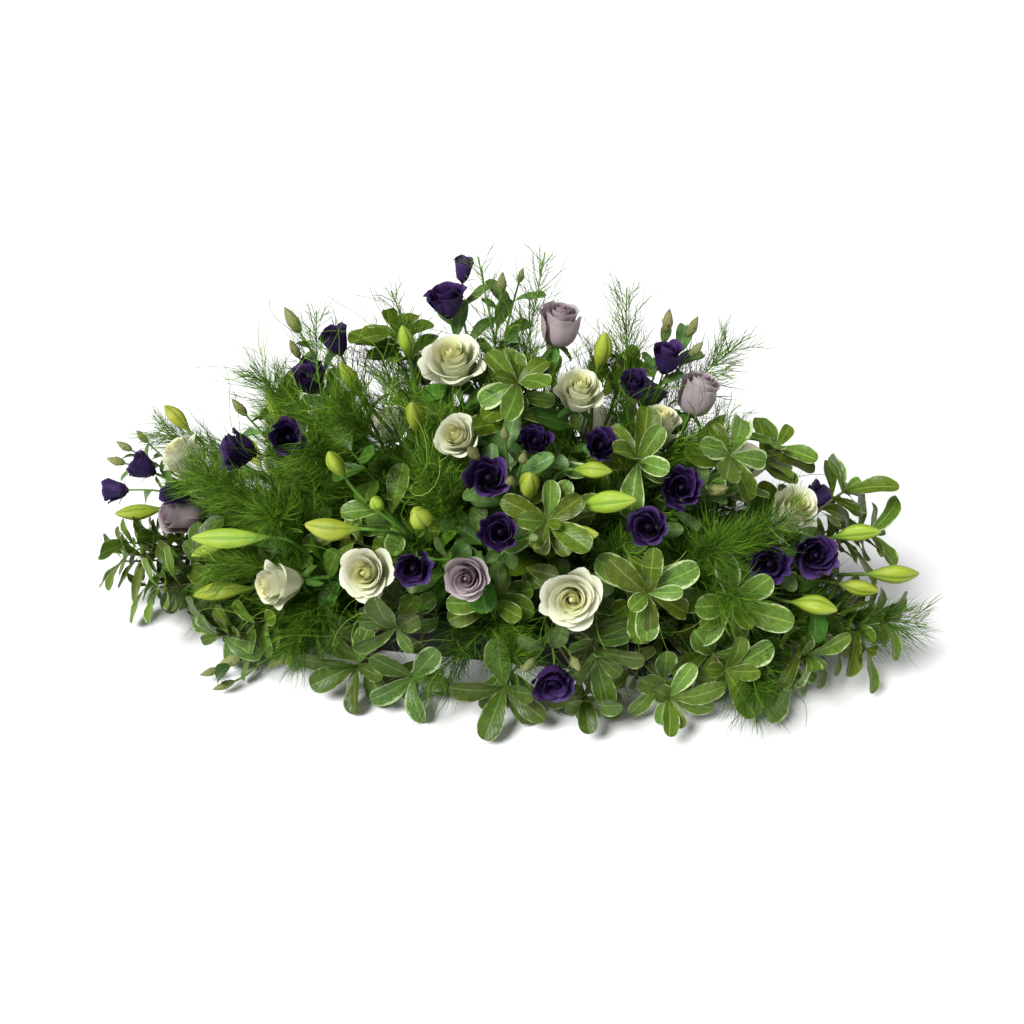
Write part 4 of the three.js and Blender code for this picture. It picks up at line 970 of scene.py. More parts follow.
def rose(sheets, frame, head, is_open, draw):
    """A rose: petals in a spiral, from the wrapped heart to five guard petals. The outer ones stand
    lower and roll out further."""
    radius, tall = head["wide"] / 2, head["tall"]
    count = 26
    guard = 1 - 0.42 * is_open
    heart(sheets, frame, 0.17 * radius, 0.97 * tall, draw())
    for i in range(count):
        f = (i + 0.5) / count
        lip = knots(f, (0, 0.14), (0.4, 0.46), (0.78, 0.84), (0.82, 0.97), (1, 1.02))
        high = knots(f, (0, 1.0), (0.3, 0.99), (0.5, 0.97), (0.78, 0.45 + 0.55 * guard), (1, guard))
        bends = [
            knots(f, (0, 30), (0.5, 62), (1, 86)),
            knots(f, (0, 4), (0.5, 16), (1, 4 + 34 * is_open)),
            knots(f, (0, -2), (0.3, 0), (0.6, 18 * is_open - 2), (1, 60 * is_open - 30)),
            knots(f, (0, -10), (0.12, 15), (0.3, 34), (0.65, 20 + 36 * is_open), (1, 130 * is_open - 27)),
        ]
        form = dict(
            turn=GOLDEN * i + 0.35 * (draw() - 0.5),
            half=knots(f, (0, 2.2), (0.2, 1.6), (0.5, 1.35), (0.78, 1.1), (0.82, 0.86), (1, 0.8)),
            lip=radius * lip * (0.95 + 0.09 * draw()),
            high=tall * high * (0.97 + 0.05 * draw()),
            base=0.6 + 3.6 * f,
            low=0.5,
            bends=bends,
            drop=knots(f, (0, 0.1), (0.5, 0.14), (0.78, 0.18), (0.82, 0.26), (1, 0.3)),
            blunt=knots(f, (0, 3.4), (0.78, 3.2), (0.82, 2.4)),
            lap=knots(f, (0, 0.3), (0.3, 0.22), (1, 0.1)),
            ruffle=0.012 + 0.08 * draw() * f * f,
            ripples=1.0 + 1.2 * draw(),
            phase=6 * draw(),
            roll=0.1 * f * (draw() - 0.3),
            depth=f,
        )
        petal(sheets, frame, form, draw(), rows=10, columns=10)


def lisianthus(sheets, frame, head, draw):
    """A lisianthus: rings of broad ruffled petals round a wrapped heart."""
    radius, tall = head["wide"] / 2, head["tall"]
    loose = clamp((head["wide"] - 28) / 18, 0, 1)
    rings = ((3, 0.28, 0.84, 1.9), (4, 0.64, 0.97, 1.4), (5, 1.0, 0.93, 1.08))
    heart(sheets, frame, 0.25 * radius, 0.76 * tall, 0.6)
    for f, (count, share, high, half) in zip((0, 0.5, 1), rings):
        turn = 6 * draw()
        for k in range(count):
            form = dict(
                turn=turn + 2 * math.pi * k / count + 0.3 * (draw() - 0.5),
                half=half,
                lip=radius * share * (0.86 + 0.26 * draw()),
                high=tall * high * (0.84 + 0.2 * draw()),
                base=1.5,
                low=1.0,
                bends=(
                    56 + 26 * f,
                    14 + 14 * f * loose,
                    2 + 8 * f,
                    4 + (20 + 42 * loose) * f * (0.3 + draw()),
                ),
                drop=0.15,
                blunt=2.6,
                lap=0.3 - 0.12 * f,
                ruffle=0.05 + 0.07 * draw(),
                ripples=1.4 + 2.2 * draw(),
                phase=6 * draw(),
                roll=0.08 * (draw() - 0.5),
                depth=f,
            )
            petal(sheets, frame, form, draw(), rows=9, columns=12)


def closed_bud(sheets, frame, head, tint, kind):
    """A pointed lisianthus bud with petals twisted round each other."""
    s = np.linspace(0, 1, 13)[:, None]
    turn = 2 * math.pi * np.arange(12)[None, :] / 12
    shape = np.interp(s, (0, 0.12, 0.42, 0.7, 0.9, 1), (0.3, 0.72, 1, 0.72, 0.3, 0.02))
    twist = np.cos(3 * turn + 5 * s)
    points = round_axis(frame, 0.62 * head["wide"] * shape * (1 + 0.09 * twist), turn, s * head["tall"])
    sheets.grid(points, (s, twist, 0), tint, kind, closed=True)


def lily_bud(sheets, frame, head, draw):
    """A closed lily bud of three outer petals with raised ribs, joined along three grooves."""
    s = np.concatenate([np.linspace(0, 0.9, 15), [0.94, 0.97, 0.99, 1.0]])[:, None]
    turn = 2 * math.pi * np.arange(36)[None, :] / 36
    shape = np.interp(
        s,
        (0, 0.06, 0.16, 0.3, 0.48, 0.64, 0.79, 0.9, 0.97, 1),
        (0.13, 0.19, 0.38, 0.72, 0.98, 0.96, 0.74, 0.44, 0.22, 0.02),
    )
    from_rib = np.abs((turn * 3 / (2 * math.pi) + 0.5) % 1 - 0.5) * 2
    belly = 0.07 * np.cos(from_rib * math.pi) + 0.05 * np.exp(-((from_rib / 0.13) ** 2))
    groove = 0.13 * np.exp(-(((1 - from_rib) / 0.09) ** 2))
    points = round_axis(frame, head["wide"] / 2 * shape * (0.98 + belly - groove), turn, s * head["tall"])
    lean = frame[2] * (draw() - 0.5) + frame[3] * (draw() - 0.5)
    points = points + lean * (0.3 * head["wide"] * np.sin(math.pi * s))[..., None]
    sheets.grid(points, (s, from_rib, 0), draw(), closed=True)


class Look:
    """A procedural material, put together from a few kinds of node."""

    def __init__(self, name, rough=0.5, sheer=0.0, shine=0.35):
        self.material = bpy.data.materials.new(name)
        self.material.use_nodes = True
        self.nodes, self.links = self.material.node_tree.nodes, self.material.node_tree.links
        self.skin = self.nodes["Principled BSDF"]
        self.skin.inputs["Roughness"].default_value = rough
        self.skin.inputs["Specular IOR Level"].default_value = shine
        self.sheer = sheer
        self.blade = self.node("Attribute", attribute_name="blade").outputs["Vector"]
        self.along, self.across, self.third = self.node("SeparateXYZ", {0: self.blade}).outputs
        self.tint = self.node("Attribute", attribute_name="tint").outputs["Fac"]
        self.place = self.node("TexCoord").outputs["Object"]

    def node(self, sort, inputs=None, **settings):
        """A new node with its settings. Its inputs are values, colours or other nodes' outputs."""
        node = self.nodes.new("ShaderNode" + sort)
        for key, value in settings.items():
            setattr(node, key, value)
        for key, value in (inputs or {}).items():
            self.join(value, node.inputs[key])
        return node

    def join(self, source, socket):
        """Puts a value, a colour or another node's output into a socket."""
        if hasattr(source, "is_output"):
            self.links.new(source, socket)
        else:
            socket.default_value = source

    def math(self, operation, *values):
        return self.node("Math", dict(enumerate(values)), operation=operation).outputs[0]

    def ramp(self, source, *stops):
        """Colours or greys between stops (place, value)."""
        node = self.node("ValToRGB", {0: source})
        points = node.color_ramp.elements
        while len(points) < len(stops):
            points.new(1)
        for point, (at, value) in zip(points, stops):
            point.position = at
            point.color = (*(value if isinstance(value, tuple) else (value,) * 3), 1)
        return node.outputs[0]

    def mix(self, share, a, b, way="MIX"):
        node = self.node("Mix", data_type="RGBA", blend_type=way)
        sockets = {s.identifier: s for s in node.inputs}
        for value, key in ((share, "Factor_Float"), (a, "A_Color"), (b, "B_Color")):
            self.join((*value, 1) if isinstance(value, tuple) else value, sockets[key])
        return next(s for s in node.outputs if s.identifier == "Result_Color")

    def noise(self, size, detail, vector=None, stretch=(1, 1, 1)):
        spread = self.node("Mapping", {0: vector or self.place, "Scale": stretch})
        inputs = {"Vector": spread.outputs[0], "Scale": size, "Detail": detail}
        return self.node("TexNoise", inputs).outputs[0]

    def vary(self, colour, hue, strength):
        """Moves each blade's hue and brightness a little by its tint."""
        turn = self.math("MULTIPLY_ADD", self.tint, 2 * hue, 0.5 - hue)
        bright = self.math("MULTIPLY_ADD", self.tint, 2 * strength, 1 - strength)
        inputs = {"Color": colour, "Hue": turn, "Value": bright}
        return self.node("HueSaturation", inputs).outputs[0]

    def relief(self, height, depth):
        """Raises the surface by `depth` metres times the height."""
        normal = self.node("Bump", {"Distance": depth, "Height": height}).outputs[0]
        self.join(normal, self.skin.inputs["Normal"])
        return normal

    def finish(self, colour, normal=None):
        self.join(colour, self.skin.inputs["Base Color"])
        if self.sheer:
            glow = self.node("BsdfTranslucent", {"Color": colour})
            if normal:
                self.join(normal, glow.inputs["Normal"])
            both = self.node("MixShader", {0: self.sheer, 1: self.skin.outputs[0], 2: glow.outputs[0]})
            self.join(both.outputs[0], self.nodes["Material Output"].inputs["Surface"])
        return self.material


def petal_look(name, foot, body, rim, heart, veins, sheer):
    """Petals from a greener foot to a lighter rim, deeper in the heart, with fine veins."""
    look = Look(name, rough=0.62, sheer=sheer, shine=0.25)
    outer = look.ramp(look.along, (0.0, foot), (0.3, body), (0.85, body), (1.0, rim))
    inner = look.ramp(look.along, (0.0, foot), (0.5, heart), (1.0, heart))
    colour = look.mix(look.ramp(look.third, (0.1, 1.0), (0.6, 0.0)), outer, inner)
    lines = look.noise(1.0, 3, look.blade, (1.5, 26, 1))
    shade = look.ramp(lines, (0.35, 1 - veins), (0.65, 1.0))
    colour = look.mix(1.0, colour, shade, "MULTIPLY")
    return look.finish(look.vary(colour, 0.012, 0.07), look.relief(lines, 0.0003))


def leaf_look(name, blade_colour, rib_colour, rim_colour=None, frost=0.0):
    """Leaf blades with a pale midrib and side veins. Variegated ones have an uneven pale rim and specks."""
    look = Look(name, rough=0.42, sheer=0.18, shine=0.35)
    patches = look.noise(160, 3)
    dark = tuple(0.6 * c for c in blade_colour)
    colour = look.mix(look.ramp(patches, (0.35, 0.0), (0.7, 1.0)), blade_colour, dark)
    out = look.math("ABSOLUTE", look.across)
    slant = look.math("MULTIPLY_ADD", out, -0.35, look.along)
    veins = look.math("PINGPONG", look.math("MULTIPLY", slant, 16.0), 1.0)
    lines = look.ramp(veins, (0.0, 1.0), (0.16, 0.0))
    colour = look.mix(look.math("MULTIPLY", lines, 0.25), colour, rib_colour)
    if rim_colour:
        wide = look.math("MULTIPLY_ADD", look.math("POWER", look.tint, 5.0), 0.17, -0.27)
        edge = look.math("MULTIPLY_ADD", look.noise(110, 3), 0.5, look.math("ADD", out, wide))
        colour = look.mix(look.ramp(edge, (0.9, 0.0), (0.98, 1.0)), colour, rim_colour)
    rib = look.ramp(out, (0.03, 1.0), (0.09, 0.0))
    colour = look.mix(look.math("MULTIPLY", rib, 0.85), colour, rib_colour)
    bloom = look.ramp(look.noise(700, 5), (0.42, 0.0), (0.75, 1.0))
    bloom = look.math("MULTIPLY", bloom, look.math("POWER", look.tint, 3.0))
    colour = look.mix(look.math("MULTIPLY", bloom, frost), colour, (0.38, 0.44, 0.24))
    raised = look.math("SUBTRACT", patches, look.math("MULTIPLY", lines, 0.5))
    return look.finish(look.vary(colour, 0.02, 0.25), look.relief(raised, 0.0007))


def stem_look(name, colour, rough=0.5):
    """Stems with darker streaks along them."""
    look = Look(name, rough=rough)
    streaks = look.noise(90, 3, None, (1, 1, 0.2))
    dark = tuple(0.55 * c for c in colour)
    shade = look.mix(look.ramp(streaks, (0.3, 0.0), (0.7, 1.0)), dark, colour)
    return look.finish(look.vary(shade, 0.02, 0.15), look.relief(streaks, 0.0005))


def bud_look(name, foot, body, tip, groove):
    """A closed bud: greener at its foot and in its grooves."""
    look = Look(name, rough=0.45, sheer=0.15, shine=0.4)
    colour = look.ramp(look.along, (0.0, foot), (0.35, body), (0.8, body), (1.0, tip))
    seam = look.ramp(look.across, (0.72, 0.0), (0.97, 1.0))
    colour = look.mix(look.math("MULTIPLY", seam, 0.7), colour, groove)
    patches = look.noise(45, 3)
    colour = look.mix(look.ramp(patches, (0.4, 0.0), (0.75, 0.45)), colour, groove)
    lines = look.noise(1.0, 3, look.blade, (2.5, 9, 1))
    colour = look.mix(look.ramp(lines, (0.5, 0.0), (0.72, 0.6)), colour, groove)
    return look.finish(look.vary(colour, 0.02, 0.12), look.relief(lines, 0.0008))


def needle_look(name, *stops):
    """Fern needles, each in its own green, darker where painted shade is put into their tints."""
    look = Look(name, rough=0.6, sheer=0.1, shine=0.15)
    return look.finish(look.ramp(look.tint, *stops))


def grained_look(name, rough, spots, patches, grain, depth):
    """A plain material with soft patches between two colours and a fine grain."""
    look = Look(name, rough=rough)
    raised = look.noise(*grain)
    colour = look.ramp(look.noise(*patches), *spots)
    return look.finish(colour, look.relief(raised, depth))


# Petals: the colours of their foot, body, rim and heart, the depth of their veins, and how sheer they are
WHITE_PETALS = petal_look(
    "white_rose_petals",
    (0.42, 0.48, 0.12), (0.82, 0.83, 0.63), (0.88, 0.88, 0.74), (0.80, 0.80, 0.42), 0.05, 0.3,
)
LILAC_PETALS = petal_look(
    "lilac_rose_petals",
    (0.34, 0.36, 0.18), (0.50, 0.41, 0.44), (0.64, 0.57, 0.57), (0.40, 0.29, 0.34), 0.08, 0.3,
)
PURPLE_PETALS = petal_look(
    "lisianthus_petals",
    (0.04, 0.02, 0.06), (0.044, 0.017, 0.108), (0.11, 0.055, 0.20), (0.022, 0.008, 0.045), 0.5, 0.12,
)

# Buds: the colours of their foot, body, tip and grooves
DARK_BUDS = bud_look(
    "lisianthus_buds", (0.12, 0.20, 0.04), (0.28, 0.29, 0.10), (0.32, 0.24, 0.17), (0.11, 0.14, 0.04)
)
GREEN_BUDS = bud_look(
    "green_buds", (0.10, 0.16, 0.04), (0.26, 0.32, 0.12), (0.40, 0.40, 0.20), (0.10, 0.17, 0.04)
)
LILY_BUDS = bud_look(
    "lily_buds", (0.15, 0.28, 0.025), (0.38, 0.47, 0.04), (0.50, 0.54, 0.09), (0.14, 0.27, 0.02)
)

# Leaves: the colours of blade, ribs and pale rim, and how strong the specks are
ROSE_GREEN = leaf_look("rose_leaves", (0.075, 0.185, 0.018), (0.16, 0.28, 0.05))
GREY_GREEN = leaf_look("lisianthus_leaves", (0.13, 0.24, 0.06), (0.22, 0.34, 0.12))
LILY_GREEN = leaf_look("lily_leaves", (0.15, 0.34, 0.02), (0.24, 0.42, 0.05))
CREAM_EDGED = leaf_look(
    "pittosporum_leaves", (0.108, 0.196, 0.008), (0.25, 0.35, 0.06), (0.46, 0.53, 0.24), 0.4
)
# Painted shade: the same leaves in darker colours, for sprigs that stand low at the front
SHADE_PAINTED_EDGED = leaf_look(
    "pittosporum_painted_shade_leaves", (0.064, 0.125, 0.008), (0.15, 0.23, 0.05), (0.26, 0.33, 0.14), 0.25
)
FERN_GREEN = needle_look(
    "fern_needles",
    (0.1, (0.028, 0.07, 0.006)),
    (0.45, (0.082, 0.185, 0.010)),
    (0.75, (0.165, 0.31, 0.022)),
    (1.0, (0.28, 0.43, 0.08)),
)
FERN_STEM = stem_look("fern_stems", (0.14, 0.27, 0.03))
GREEN_STEM = stem_look("green_stems", (0.12, 0.24, 0.03))
WOODY_STEM = stem_look("woody_stems", (0.13, 0.12, 0.05), 0.7)

# Leaves turn their upper sides to the light: at the front towards the view, behind this line to the back
BACK_LINE = 60
FRONT_LIGHT, BACK_LIGHT = tuple(VIEW_BACK), (0.0, 0.5, 0.87)
BOX_LOW, BOX_HIGH = (np.array(corner) * 1000 for corner in CAD_BOX)


def lit_side(top, way, root, share):
    """The upper side of a leaf, rolled a share towards the light of the front or of the back."""
    light = FRONT_LIGHT if root[1] < BACK_LINE else BACK_LIGHT
    if dot(top, light) > -0.3:
        top = add(top, light, share)
    return unit(add(top, way, -dot(top, way)))


def is_in_box(points, room=4.0):
    """True for points inside the solids' box, or hardly past it."""
    return bool((points > BOX_LOW - room).all() and (points < BOX_HIGH + room).all())


def loosened(leaf, draw):
    """The fine leaf of a whorl: near the plain one, but with its own size, bend and roll."""
    way, top = leaf["way"], leaf["top"]
    side = cross(way, top)
    grown = 0.58 + 0.38 * draw()
    roll, tilt, swing = 1.5 * (draw() - 0.5), 0.7 * (draw() - 0.5), 0.45 * (draw() - 0.5)
    shape = dict(leaf, outline=(0.85, 2.5), cup=0.1 + 0.35 * draw(), bend=0.2 + 0.9 * draw())
    shape["long"] = leaf["long"] * grown
    shape["wide"] = leaf["wide"] * (0.24 + 0.58 * grown + 0.17 * draw())
    for share in (1, 0.6, 0.3, 0):
        shape["way"] = unit(add(add(way, top, share * tilt), side, share * swing))
        shape["top"] = lit_side(add(top, side, share * roll), shape["way"], leaf["root"], 0.8 * share)
        spots = [blade_point(shape, s, t) for s in (0.3, 0.6, 0.85, 1) for t in (-0.9, 0, 0.9)]
        balls = [(*q, 0.5) for q in spots]
        if head_space.is_clear(balls) and all(map(is_outside, balls)) and is_in_box(np.array(spots)):
            return shape
    return leaf


# Leaves along the stems: their size and outline, the step between them, and their spread from the stem
ROSE_SPRAY = dict(long=46, wide=27, outline=(0.7, 3), step=20, spread=1.0, bend=0.5, cup=0.25)
LISIANTHUS_SPRAY = dict(long=40, wide=17, outline=(0.6, 2.4), step=20, spread=0.75, bend=0.5, cup=0.3)
LILY_SPRAY = dict(long=70, wide=13, outline=(0.55, 1.8), step=13, spread=0.8, bend=0.6, cup=0.3)
SPRIG_SPRAY = dict(long=54, wide=26, outline=(0.85, 2.5), step=15, spread=0.95, bend=0.4, cup=0.2)


# The spray stays open in front of the foam, within these bounds
OPEN_MIDDLE, OPEN_HALF, OPEN_FRONT, OPEN_LOW, OPEN_HIGH = -30, 130, -88, 30, 108


def is_over_front(p):
    """True in front of the foam, where the spray stays open."""
    return abs(p[0] - OPEN_MIDDLE) < OPEN_HALF and p[1] < OPEN_FRONT and OPEN_LOW < p[2] < OPEN_HIGH


def grown_leaf(p, axes, around, spread, form, owner):
    """A leaf beside a stem, or None where it would cross a bloom or hide one."""
    axis, u, w = axes
    for swing in (0, 0.5, -0.5, 1.0, -1.0):
        a = around + swing
        out = add(scale(u, math.cos(a)), w, math.sin(a))
        way = unit(add(scale(axis, math.cos(spread)), out, math.sin(spread)))
        leaf = dict(form, root=p, way=way, top=lit_side(axis, way, p, 0.6))
        for grown in (1, 0.72):
            leaf["long"], leaf["wide"] = form["long"] * grown, form["wide"] * grown
            spots = [blade_point(leaf, s, t) for s in (0.2, 0.45, 0.7, 1.0) for t in (-0.8, 0, 0.8)]
            balls = [(*q, 1.0) for q in spots]
            if not all(map(is_outside, balls)) or not is_in_box(np.array(spots)) or is_over_front(spots[4]):
                continue
            if not head_space.is_clear(balls) or hides_a_head(spots):
                continue
            wider = [(*q, 3.0) for q in spots]
            if leaf_space.is_clear(wider):
                leaf_space.take(wider, owner)
                return leaf
    return None


def clothe(sheets, stem, form, draw, owner, last=14.0):
    """Leaves along a stem to a last length short of its end, each a golden angle on."""
    points, directions = stem.fine(24)
    frames = frames_on([(tuple(p), tuple(d)) for p, d in zip(points, directions)])
    runs = np.concatenate([[0], np.cumsum(np.linalg.norm(np.diff(points, axis=0), axis=1))])
    at = (runs[1] if stem.foot else 0) + 12
    around = 6 * draw()
    while at < runs[-1] - last:
        p, d, u, w = frames[min(int(np.searchsorted(runs, at)), len(frames) - 1)]
        spread = form["spread"] * (0.75 + 0.5 * draw())
        grown = 0.75 + 0.45 * draw()
        now = dict(form, long=form["long"] * grown, wide=form["wide"] * grown)
        now["bend"] = form["bend"] * (0.4 + 1.2 * draw())
        leaf = grown_leaf(p, (d, u, w), around, spread, now, owner)
        if leaf:
            blade(sheets, leaf, 8, 2, draw(), wave=0.12)
        around += GOLDEN
        at += form["step"] * (0.8 + 0.4 * draw())


def add_stems(sheets, plant, radius, shoot_radius, draw):
    """The trunk of a plant and its shoots, which thin towards their ends."""
    tint = draw()
    tube(sheets, *plant["trunk"].fine(20), radius, tint)
    fork_radius = min(radius, 1.4 * shoot_radius)
    for shoot in plant["shoots"]:
        points, directions = shoot.fine(20)
        tube(sheets, points, directions, np.linspace(fork_radius, shoot_radius, len(points)), tint)


def head_frame(plant, k, turned=0):
    """The frame of the head on way `k` of a plant. Its neck may turn a share towards the front view."""
    foot, axis, u, w = (np.array(v) for v in end_frame(plant, k))
    if turned:
        axis = units(axis + turned * VIEW_BACK)
        u = swept_frames([axis])[0][0]
        w = np.cross(axis, u)
    return foot, axis, u, w


leaf_space = Space(18)
for name, plant in plants.items():
    for leaf in sum(plant.get("whorls", []), []):
        leaf_space.take(blade_balls(leaf), name)

# Roses: how far some are open, and how far their necks turn them towards the front
OPEN = dict(white_rose_3=1.1, white_rose_7=1.05, white_rose_1=1.0, white_rose_5=0.6, lilac_rose_1=0.75)
TURNED = dict(white_rose_3=0.4, white_rose_5=0.25, lilac_rose_4=0.45)
ROSES = [head for head in heads if head["kind"] == "rose"]
for number, head in enumerate(ROSES):
    name = head["owner"]
    plant, draw = plants[name], draws_from(500 + number)
    petals, green = Sheets(), Sheets()
    is_white = name.startswith("white")
    at = head_frame(plant, 0, TURNED.get(name, 0))
    rose(petals, at, head, OPEN.get(name, 0.9 if is_white else 0.4), draw)
    sepals(green, at, 26, 8, 1.75, 0.9, draw)
    add_stems(green, plant, ROSE_STEM, ROSE_STEM, draw)
    clothe(green, plant["trunk"], ROSE_SPRAY, draw, name, last=24)
    look, slot = (WHITE_PETALS, "white_rose_petals") if is_white else (LILAC_PETALS, "lilac_rose_petals")
    make_piece(f"{name}.petals", petals, [look], slot, name)
    make_piece(f"{name}.green", green, [GREEN_STEM, ROSE_GREEN], slot)

# Lisianthus, whose smallest buds are greener
SMALL_BUD, LOW_BUD = 21, 60
for name, plant, draw in each("lisianthus", 600):
    petals, green = Sheets(), Sheets()
    for k, head in enumerate(heads_of(name)):
        at = head_frame(plant, k)
        if head["kind"] == "lisianthus":
            lisianthus(petals, at, head, draw)
            sepals(green, at, head["tall"] * 0.62, 3.2, 0.75, 0.5, draw)
        else:
            is_dark = head["at"][2] < LOW_BUD or head["tall"] > SMALL_BUD
            closed_bud(petals, at, head, draw(), 1 if is_dark else 2)
            sepals(green, at, head["tall"] * 0.6, 2.2, 0.35, 0.3, draw)
    add_stems(green, plant, FORKS["lisianthus"]["stem"], FORKS["lisianthus"]["shoot"], draw)
    for stem in [plant["trunk"], *plant["shoots"]]:
        clothe(green, stem, LISIANTHUS_SPRAY, draw, name)
    make_piece(f"{name}.petals", petals, [PURPLE_PETALS, DARK_BUDS, GREEN_BUDS], "lisianthus_petals", name)
    make_piece(f"{name}.green", green, [GREEN_STEM, GREY_GREEN], "lisianthus_petals")

# Lilies in bud
for name, plant, draw in each("lily", 700):
    buds, green = Sheets(), Sheets()
    for k, head in enumerate(heads_of(name)):
        lily_bud(buds, head_frame(plant, k), head, draw)
    for leaf in plant["whorls"][0]:
        blade(green, leaf, 12, 3, draw(), wave=0.1)
    add_stems(green, plant, FORKS["lily"]["stem"], FORKS["lily"]["shoot"] + 0.6, draw)
    clothe(green, plant["trunk"], LILY_SPRAY, draw, name)
    make_piece(f"{name}.buds", buds, [LILY_BUDS], "lily_buds", name)
    make_piece(f"{name}.green", green, [GREEN_STEM, LILY_GREEN], "lily_buds")

# The leaves round a sprig's end: how far back each ring stands, its leaves, their spread and length
CROWN_RINGS = ((0, 4, 0.45, 40), (14, 4, 1.0, 54), (30, 3, 1.1, 56))
BIT_RINGS = ((0, 5, 1.0, 44), (13, 5, 1.25, 50))


def crown(sheets, end, rings, draw, owner):
    """Rings of leaves at the end of a sprig, where they find room."""
    tip, d, u, w = end
    for back, count, spread, long in rings:
        turn = 6 * draw()
        for m in range(count):
            now = dict(SPRIG_SPRAY, long=long * (0.8 + 0.4 * draw()), bend=0.3 + 0.4 * draw())
            now["wide"] = now["long"] * (0.42 + 0.12 * draw())
            around = turn + 2 * math.pi * m / count
            leaf = grown_leaf(add(tip, d, -back), (d, u, w), around, spread, now, owner)
            if leaf:
                blade(sheets, leaf, 10, 3, draw(), wave=0.12)


# Pittosporum, with painted shade: its leaves are darker where it stands low at the front
DARK_FRONT, DARK_HIGH = -90, 95
for name, plant, draw in each("pittosporum", 800):
    leaves = Sheets()
    add_stems(leaves, plant, FORKS["pittosporum"]["stem"], FORKS["pittosporum"]["shoot"], draw)
    for k, whorl in enumerate(plant["whorls"]):
        for leaf in whorl:
            blade(leaves, loosened(leaf, draw), 14, 4, draw(), wave=0.14)
        crown(leaves, end_frame(plant, k), CROWN_RINGS, draw, name)
    for stem in [plant["trunk"], *plant["shoots"]]:
        clothe(leaves, stem, SPRIG_SPRAY, draw, name)
    middle = middle_of([leaf["root"] for leaf in sum(plant["whorls"], [])])
    # Sprigs low at the front take the leaves with painted shade
    look = SHADE_PAINTED_EDGED if middle[1] < DARK_FRONT and middle[2] < DARK_HIGH else CREAM_EDGED
    make_piece(f"{name}.leaves", leaves, [WOODY_STEM, look], "pittosporum_leaves", name)

# Fern gets wispier above this height, and thinner low in front of the foam
WISPY, WISPY_RISE = 300, 120
FOAM_FRONT = dict(half=200, front=-95, high=115)


def wispiness(p):
    """0 in the body of the spray, 1 for fern that stands high above it."""
    return clamp((p[2] - WISPY) / WISPY_RISE, 0, 1)


def is_before_foam(p, half, front, high):
    """True low in front of the foam."""
    return abs(p[0]) < half and p[1] < front and p[2] < high


def scatter(order, step, start, times):
    """Uneven shares from 0 to 1, one for each number of the order."""
    return np.modf(np.abs(np.sin(step * order + start)) * times)[0][:, None]


def twig(sheets, path, thick, thin, tint):
    """A fine bare twig along a path of points."""
    ways = units(np.gradient(path, axis=0))
    tube(sheets, path, ways, np.linspace(thick, thin, len(path)), tint, 1, sides=3)


def fern_spray(sheets, foot, ahead, long, draw, step=6.0, needle=26.0):
    """One rib of a frond with long needles that sweep forward along it, fewer where it is wispy."""
    foot, ahead = np.array(foot), np.array(ahead)
    u, w = (np.array(v) for v in sides_of(tuple(ahead)))
    a = 2 * math.pi * draw()
    sag = (u * math.cos(a) + w * math.sin(a)) * 0.16 * long - np.array([0, 0, 0.1 * long * (1 - ahead[2])])
    s = np.linspace(0, 1, 5)[:, None]
    tint = draw()
    twig(sheets, foot + ahead * long * s + sag * s**2, 0.5, 0.25, tint)
    count = 3 if step < 8 else 2
    order = np.arange(max(3, whole(long / step)) * count)
    rough, other = scatter(order, 12.9, 40 * tint, 47), scatter(order, 7.3, 90 * tint, 53)
    spot = np.clip((order[:, None] + rough) / len(order), 0.02, 1)
    feet = foot + ahead * long * spot + sag * spot**2
    turn = (GOLDEN * (order // count) + a + 2 * math.pi * (order % count) / count)[:, None] + other
    out = u * np.cos(turn) + w * np.sin(turn)
    lean = 0.85 - 0.3 * spot + 0.4 * (rough - 0.5)
    ways = ahead * np.cos(lean) + out * np.sin(lean)
    tall = needle * (0.6 + 0.7 * other)
    ends = ahead * np.cos(0.45 * lean) + out * np.sin(0.45 * lean)
    tips = feet + ends * tall + sag * (0.25 * tall / long)
    inside = (tips > BOX_LOW - 3).all(1) & (tips < BOX_HIGH + 3).all(1) & (tips[:, 2] > 1)
    tints = 0.35 * tint + 0.65 * np.modf(37 * other[:, 0])[0]
    # Painted shade: needles are darker the lower they stand, and darker towards the right end
    tints = tints * np.clip(0.4 + tips[:, 2] / 240, 0.4, 1) * (1 - 0.22 * np.clip(tips[:, 0] / 150, 0, 1))
    sheets.needles(feet[inside], ways[inside], tips[inside], 0.34, tints[inside], 1)


def fern_ribs(sheets, stem, steps, draw, first, last, long, each_step, needle):
    """Ribs along a fern stem, each a golden angle on, where they don't cross or hide a bloom."""
    points, directions = stem.fine(steps)
    count = len(points)
    for i in range(int(first * count), int(last * count)):
        foot, d = points[i], directions[i]
        u, w = (np.array(v) for v in sides_of(tuple(d)))
        thin = wispiness(foot)
        for m in range(each_step):
            a = GOLDEN * i + 2 * math.pi * m / each_step + 0.6 * draw()
            b = 0.4 + 0.45 * draw()
            ahead = d * math.cos(b) + (u * math.cos(a) + w * math.sin(a)) * math.sin(b)
            reach = long * (1 - 0.5 * i / count) * (0.6 + 0.7 * draw())
            tip = foot + ahead * (reach + 0.6 * needle)
            middle = foot + ahead * reach * 0.6
            left_out = 0.65 if is_before_foam(tip, **FOAM_FRONT) else 0.5 * thin
            if draw() < left_out or not is_outside((*tip, 1)) or not is_in_box(tip, 2):
                continue
            if not head_space.is_clear([(*tip, 2), (*middle, 2)]):
                continue
            if not hides_a_head([tip, middle, 0.5 * (foot + tip)], FERN_ROOM):
                fern_spray(sheets, foot, ahead, reach, draw, 6 + 4 * thin, needle)


